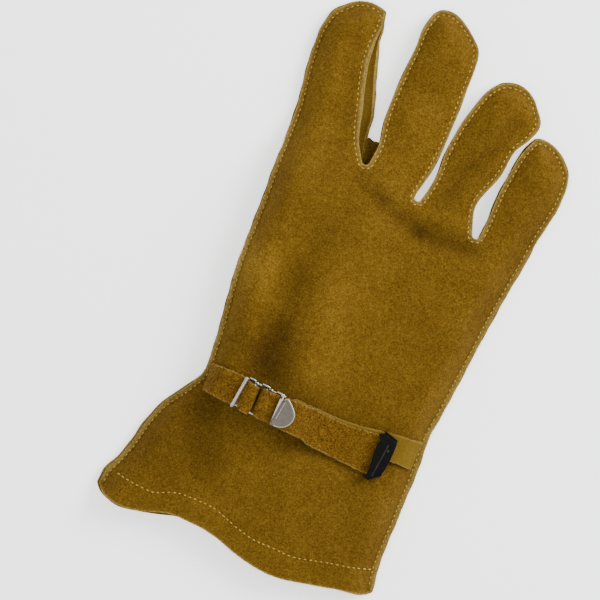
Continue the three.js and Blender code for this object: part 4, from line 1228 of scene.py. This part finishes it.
def makeLever():
    low = leverTop - lever["thick"]
    outline = evenly(curveThrough(closeUp(lever["outline"]), 6), 0.55)[:-1]
    body = plate("lever", outline, low, leverTop, 0.2)
    top = max(body.data.polygons, key=lambda f: (round(f.center.z, 6), f.area)).index
    bpy.ops.object.mode_set(mode="EDIT")
    bpy.ops.mesh.select_mode(type="FACE")
    bpy.ops.mesh.select_all(action="DESELECT")
    bpy.ops.object.mode_set(mode="OBJECT")
    body.data.polygons[top].select = True
    bpy.ops.object.mode_set(mode="EDIT")
    bpy.ops.mesh.inset(thickness=lever["rim"] * mm, depth=0)
    bpy.ops.mesh.inset(thickness=lever["slope"] * mm, depth=-lever["dish"] * mm)
    bpy.ops.object.mode_set(mode="OBJECT")
    body.data.materials.append(steel)
    body.data.materials.append(steelDull)
    (x0, y0), (x1, y1) = lever["crease"]
    for face in body.data.polygons:
        x, y = face.center.x / mm - shift[0], face.center.y / mm - shift[1]
        leftOf = x < x0 + (y - y0) * (x1 - x0) / (y1 - y0) + 0.4
        if face.index == top or (leftOf and y < lever["dullBelow"]):
            face.material_index = 1
    tube = rod("tube", (pinX, -6.7, pinHeight), (pinX, 5.6, pinHeight), lever["tube"], 0.15, 28)
    web = plate("web", [(pinX - 1.2, -6.6), (pinX - 0.1, -6.6), (pinX - 0.1, 5.4), (pinX - 1.2, 5.4)],
                pinHeight + 0.9, low + 0.2, 0.1)
    creaseHeight = leverTop - lever["dish"] - 0.1
    crease = rod("crease", (x0, y0, creaseHeight), (x1, y1, creaseHeight), 0.27, 0.1, 12)
    piece = joinPieces("leverSteel", [body, tube, web, crease], steel)
    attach(piece, "lever")
    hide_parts("buckle_lever")


strapLayers = [makeAnchor(), makeStrap()]
print("strap ready")

makeBuckleFrame()
makeLever()
print("buckle ready")


keeper = {
    "outline": [(34.3, 8.4), (37.0, 8.9), (44.1, 7.1), (44.2, 4.6), (44.1, -2.2), (43.5, -7.4),
                (43.1, -9.2), (40.6, -11.8), (37.4, -14.9), (35.7, -15.3), (33.6, -14.3), (35.7, -13.0),
                (35.9, -10.4), (35.2, -1.7), (35.2, 2.4), (35.9, 5.5), (33.8, 7.4)],
    "wall": 1.5, "ridge": ((40.4, 4.4), (38.5, -13.0)), "boss": (41.3, 1.6),
    "floor": [(36.8, 8.6), (43.8, 6.9), (43.0, -9.0), (37.6, -14.4), (36.6, -10.0)],
    "sides": ([(36.6, 9.2), (43.9, 7.3), (43.9, 8.3), (36.6, 10.3)],
              [(36.4, -14.9), (42.8, -9.8), (43.2, -11.0), (37.4, -15.6)]),
}


def makeKeeper():
    low, high = (corner[2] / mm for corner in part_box("strap_keeper"))
    outline = evenly(closeUp(keeper["outline"]), 0.7)[:-1]
    parts = [plate("roof", outline, high - keeper["wall"], high, 0.35)]
    parts.append(plate("floor", keeper["floor"], low, low + 1.3, 0.2))
    for wall in keeper["sides"]:
        parts.append(plate("wall", wall, low, high - 0.4, 0.2))
    (x0, y0), (x1, y1) = keeper["ridge"]
    ridge = rod("ridge", (x0, y0, high - 0.1), (x1, y1, high - 0.1), 0.42, 0.25, 14)
    boss = rod("boss", (*keeper["boss"], high - 0.4), (*keeper["boss"], high + 0.35), 0.7, 0.2, 18)
    # the ridge and the boss get paler plastic: painted highlights along them
    for part in (ridge, boss):
        part.data.materials.append(plasticPaintedHighlight)
    piece = joinPieces("plasticKeeper", parts + [ridge, boss], plastic)
    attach(piece, "glove")
    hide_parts("strap_keeper")


makeKeeper()
print("keeper ready")


# Stitches: each is a short thread that dips into the leather at both ends

stitch = {
    "pitch": 2.75, "length": 1.5, "radius": 0.28, "inset": 2.1, "sides": 7,
    "pitchSpread": 0.12, "lengthSpread": 0.05, "first": 1.2, "last": 1.0, "lowest": 0.03,
    # along the stitch: share of its length, share of its radius, height over the leather
    "profile": [(0.0, 0.45, -0.55), (0.12, 0.85, -0.02), (0.35, 1.0, 0.10), (0.65, 1.0, 0.10),
                (0.88, 0.85, -0.02), (1.0, 0.45, -0.55)],
}


def threadMaterial():
    constants = {"Roughness": 0.6, "Sheen Weight": 0.05}
    material, noise, ramp, blend, attribute, bump, link = nodeMaker("thread", constants)
    link(ramp(noise(6, 2, 0.5), [(0.3, (0.27, 0.172, 0.020)), (0.7, (0.41, 0.285, 0.042))]), "Base Color")
    link(bump(noise(0.35, 2, 0.6), 0.5, 0.0002), "Normal")
    return material


thread = threadMaterial()


def stitchPlaces(line, seed):
    line = relaxed(evenly(line, 0.25), 10)
    steps = lengthAlong(line)
    at = np.arange(stitch["first"], steps[-1] - stitch["last"], stitch["pitch"])
    random = np.random.default_rng(seed)
    at = at + random.normal(0, stitch["pitchSpread"], len(at))
    ends = []
    for half in (-0.5, 0.5):
        reach = at + half * stitch["length"] * (1 + random.normal(0, stitch["lengthSpread"], len(at)))
        ends.append(placesAt(reach, steps, line))
    return ends


def stitchMesh(rows, height, way):
    points, faces = [], []
    sides, profile = stitch["sides"], stitch["profile"]
    angle = np.linspace(0, 2 * math.pi, sides, endpoint=False)
    for a, b in rows:
        spots = np.concatenate([a + (b - a) * t for t, _, _ in profile])
        z = height(spots).reshape(len(profile), len(a))
        for k in range(len(a)):
            along = (b[k] - a[k]) / max(np.linalg.norm(b[k] - a[k]), 1e-6)
            side = np.array([-along[1], along[0]])
            start = len(points)
            for n, (t, swell, rise) in enumerate(profile):
                centre = a[k] + (b[k] - a[k]) * t
                radius = stitch["radius"] * swell
                for w in angle:
                    x, y = centre + side * radius * math.cos(w)
                    up = z[n, k] + way * (rise + radius * math.sin(w))
                    points.append((x, y, max(up, stitch["lowest"])))
            for n in range(len(profile) - 1):
                for i in range(sides):
                    here, j = start + n * sides, (i + 1) % sides
                    faces.append((here + i, here + j, here + sides + j, here + sides + i))
            faces.append(tuple(start + i for i in range(sides))[::-1])
            faces.append(tuple(start + (len(profile) - 1) * sides + i for i in range(sides)))
    return points, faces


def makeStitches(name, rows, height, way=1):
    points, faces = stitchMesh(rows, height, way)
    piece = makeObject(name, points, faces)
    piece.data.materials.append(thread)
    turnOutwards(piece)
    smoothShade(piece, 60)
    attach(piece, "glove")
    print(name, sum(len(a) for a, _ in rows), "stitches")


def seamRows(line, closed, seed):
    normal = inwardNormals(closed)[:len(line)]
    moved = line[:, :2] + normal * stitch["inset"]
    moved = moved[farther(moved, line) > 0.88 * stitch["inset"]]
    jumps = np.linalg.norm(np.diff(moved, axis=0), axis=1)
    pieces = np.split(moved, np.where(jumps > 2.0)[0] + 1)
    return [stitchPlaces(part, seed + n) for n, part in enumerate(pieces) if len(part) > 12]


fuzz = {"perMillimetre": 5.0, "shortest": 0.35, "longest": 1.15, "thick": 0.085, "lean": 0.55,
        "sunk": 0.15, "lowest": 0.1}


def makeFuzz(name, edges):
    # loose fibres along the raw edges; each is a long thin pyramid
    random = np.random.default_rng(77)
    points, faces = [], []
    for line, outward, low, high in edges:
        steps = lengthAlong(line)
        count = int(steps[-1] * fuzz["perMillimetre"])
        at = random.uniform(0, steps[-1], count)
        out = placesAt(at, steps, outward)
        bottom, top = placesAt(at, steps, np.column_stack([low, high])).T
        z = mix(bottom, top, random.uniform(0.05, 0.95, count))
        root = np.column_stack([placesAt(at, steps, line) - out * fuzz["sunk"], z])
        lean = random.normal(0, fuzz["lean"], (count, 3)) * (1, 1, 0.6)
        way = np.column_stack([out, np.zeros(count)]) + lean
        way /= np.linalg.norm(way, axis=1, keepdims=True)
        length = random.uniform(fuzz["shortest"], fuzz["longest"], count)[:, None]
        side = np.cross(way, (0.0, 0.0, 1.0))
        side /= np.linalg.norm(side, axis=1, keepdims=True)
        up = np.cross(side, way)
        tip = root + way * length
        tip[:, 2] = np.maximum(tip[:, 2], fuzz["lowest"])
        start = sum(len(p) for p in points)
        half = fuzz["thick"] / 2
        corners = [root + side * half - up * half * 0.6, root - side * half - up * half * 0.6,
                   root + up * half, tip]
        points.append(np.stack(corners, axis=1).reshape(-1, 3))
        first = start + 4 * np.arange(count)[:, None]
        for trio in ((0, 2, 1), (0, 1, 3), (1, 2, 3), (2, 0, 3)):
            faces.append(first + np.array(trio))
    piece = makeObject(name, np.vstack(points), np.vstack(faces))
    piece.data.materials.append(suedeCut)
    turnOutwards(piece)
    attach(piece, "glove")
    print(name, len(piece.data.polygons), "faces")


def backEdge():
    high = backTop(backLoop)
    return backLoop, -inwardNormals(backLoop), high - leather["wall"], high


def palmEdge():
    # no loose fibres on the lap, which lies under the glove
    keep = (palmLoop[:, 1] < hand["handLength"] * 0.98) | (farther(palmLoop, lapLine()) > 6)
    loop, outward = palmLoop[keep], -inwardNormals(palmLoop)[keep]
    high = palmTop(loop)
    return loop + outward * 0.3, outward, high - leather["wall"], high


hemRow = [(-79.6, -60.3), (-70.2, -61.8), (-61.3, -62.4), (-57.9, -62.1), (-48.4, -58.2), (-38.9, -57.5),
          (-28.7, -57.9), (-22.3, -59.7), (-13.5, -62.7), (-3.6, -65.0), (6.5, -65.2), (18.4, -65.4),
          (33.7, -61.8), (46.7, -59.2), (58.6, -55.9)]


def underside(*names):
    bpy.context.view_layer.update()
    graph = bpy.context.evaluated_depsgraph_get()
    trees = [BVHTree.FromObject(bpy.data.objects[name], graph) for name in names]

    def height(p):
        heights = []
        for x, y in p[:, :2]:
            start = ((x + shift[0]) * mm, (y + shift[1]) * mm, -0.02)
            hits = [tree.ray_cast(start, (0, 0, 1))[0] for tree in trees]
            heights.append(min([hit.z / mm for hit in hits if hit is not None], default=4.0))
        return np.array(heights)

    return height


backRows = seamRows(backSeam, backOutline, 50)
makeStitches("seamStitches", backRows + [stitchPlaces(curveThrough(hemRow, 8), 90)], backTop)
palmRows = seamRows(palmSeam, withHem(palmSeam), 110)
palmRows.append(stitchPlaces(lapLine(1.8)[3:-3], 130))
makeStitches("palmStitches", palmRows, underside("palm", "fingerFront"), -1)
thumbRows = seamRows(thumbLoop(), thumbLoop(), 140)
makeStitches("thumbStitches", thumbRows, underside("thumbFront"), -1)


def strapEdges():
    edges = []
    for rings in strapLayers:
        rings = np.asarray(rings)
        for a, b, way in ((0, 21, -1.0), (10, 11, 1.0)):
            line = rings[:, a, :2]
            heights = np.sort(rings[:, (a, b), 2], axis=1)
            edges.append((line, np.tile((0.0, way), (len(line), 1)), heights[:, 0], heights[:, 1]))
    return edges


makeFuzz("edgeFuzz", [backEdge(), palmEdge()] + strapEdges())
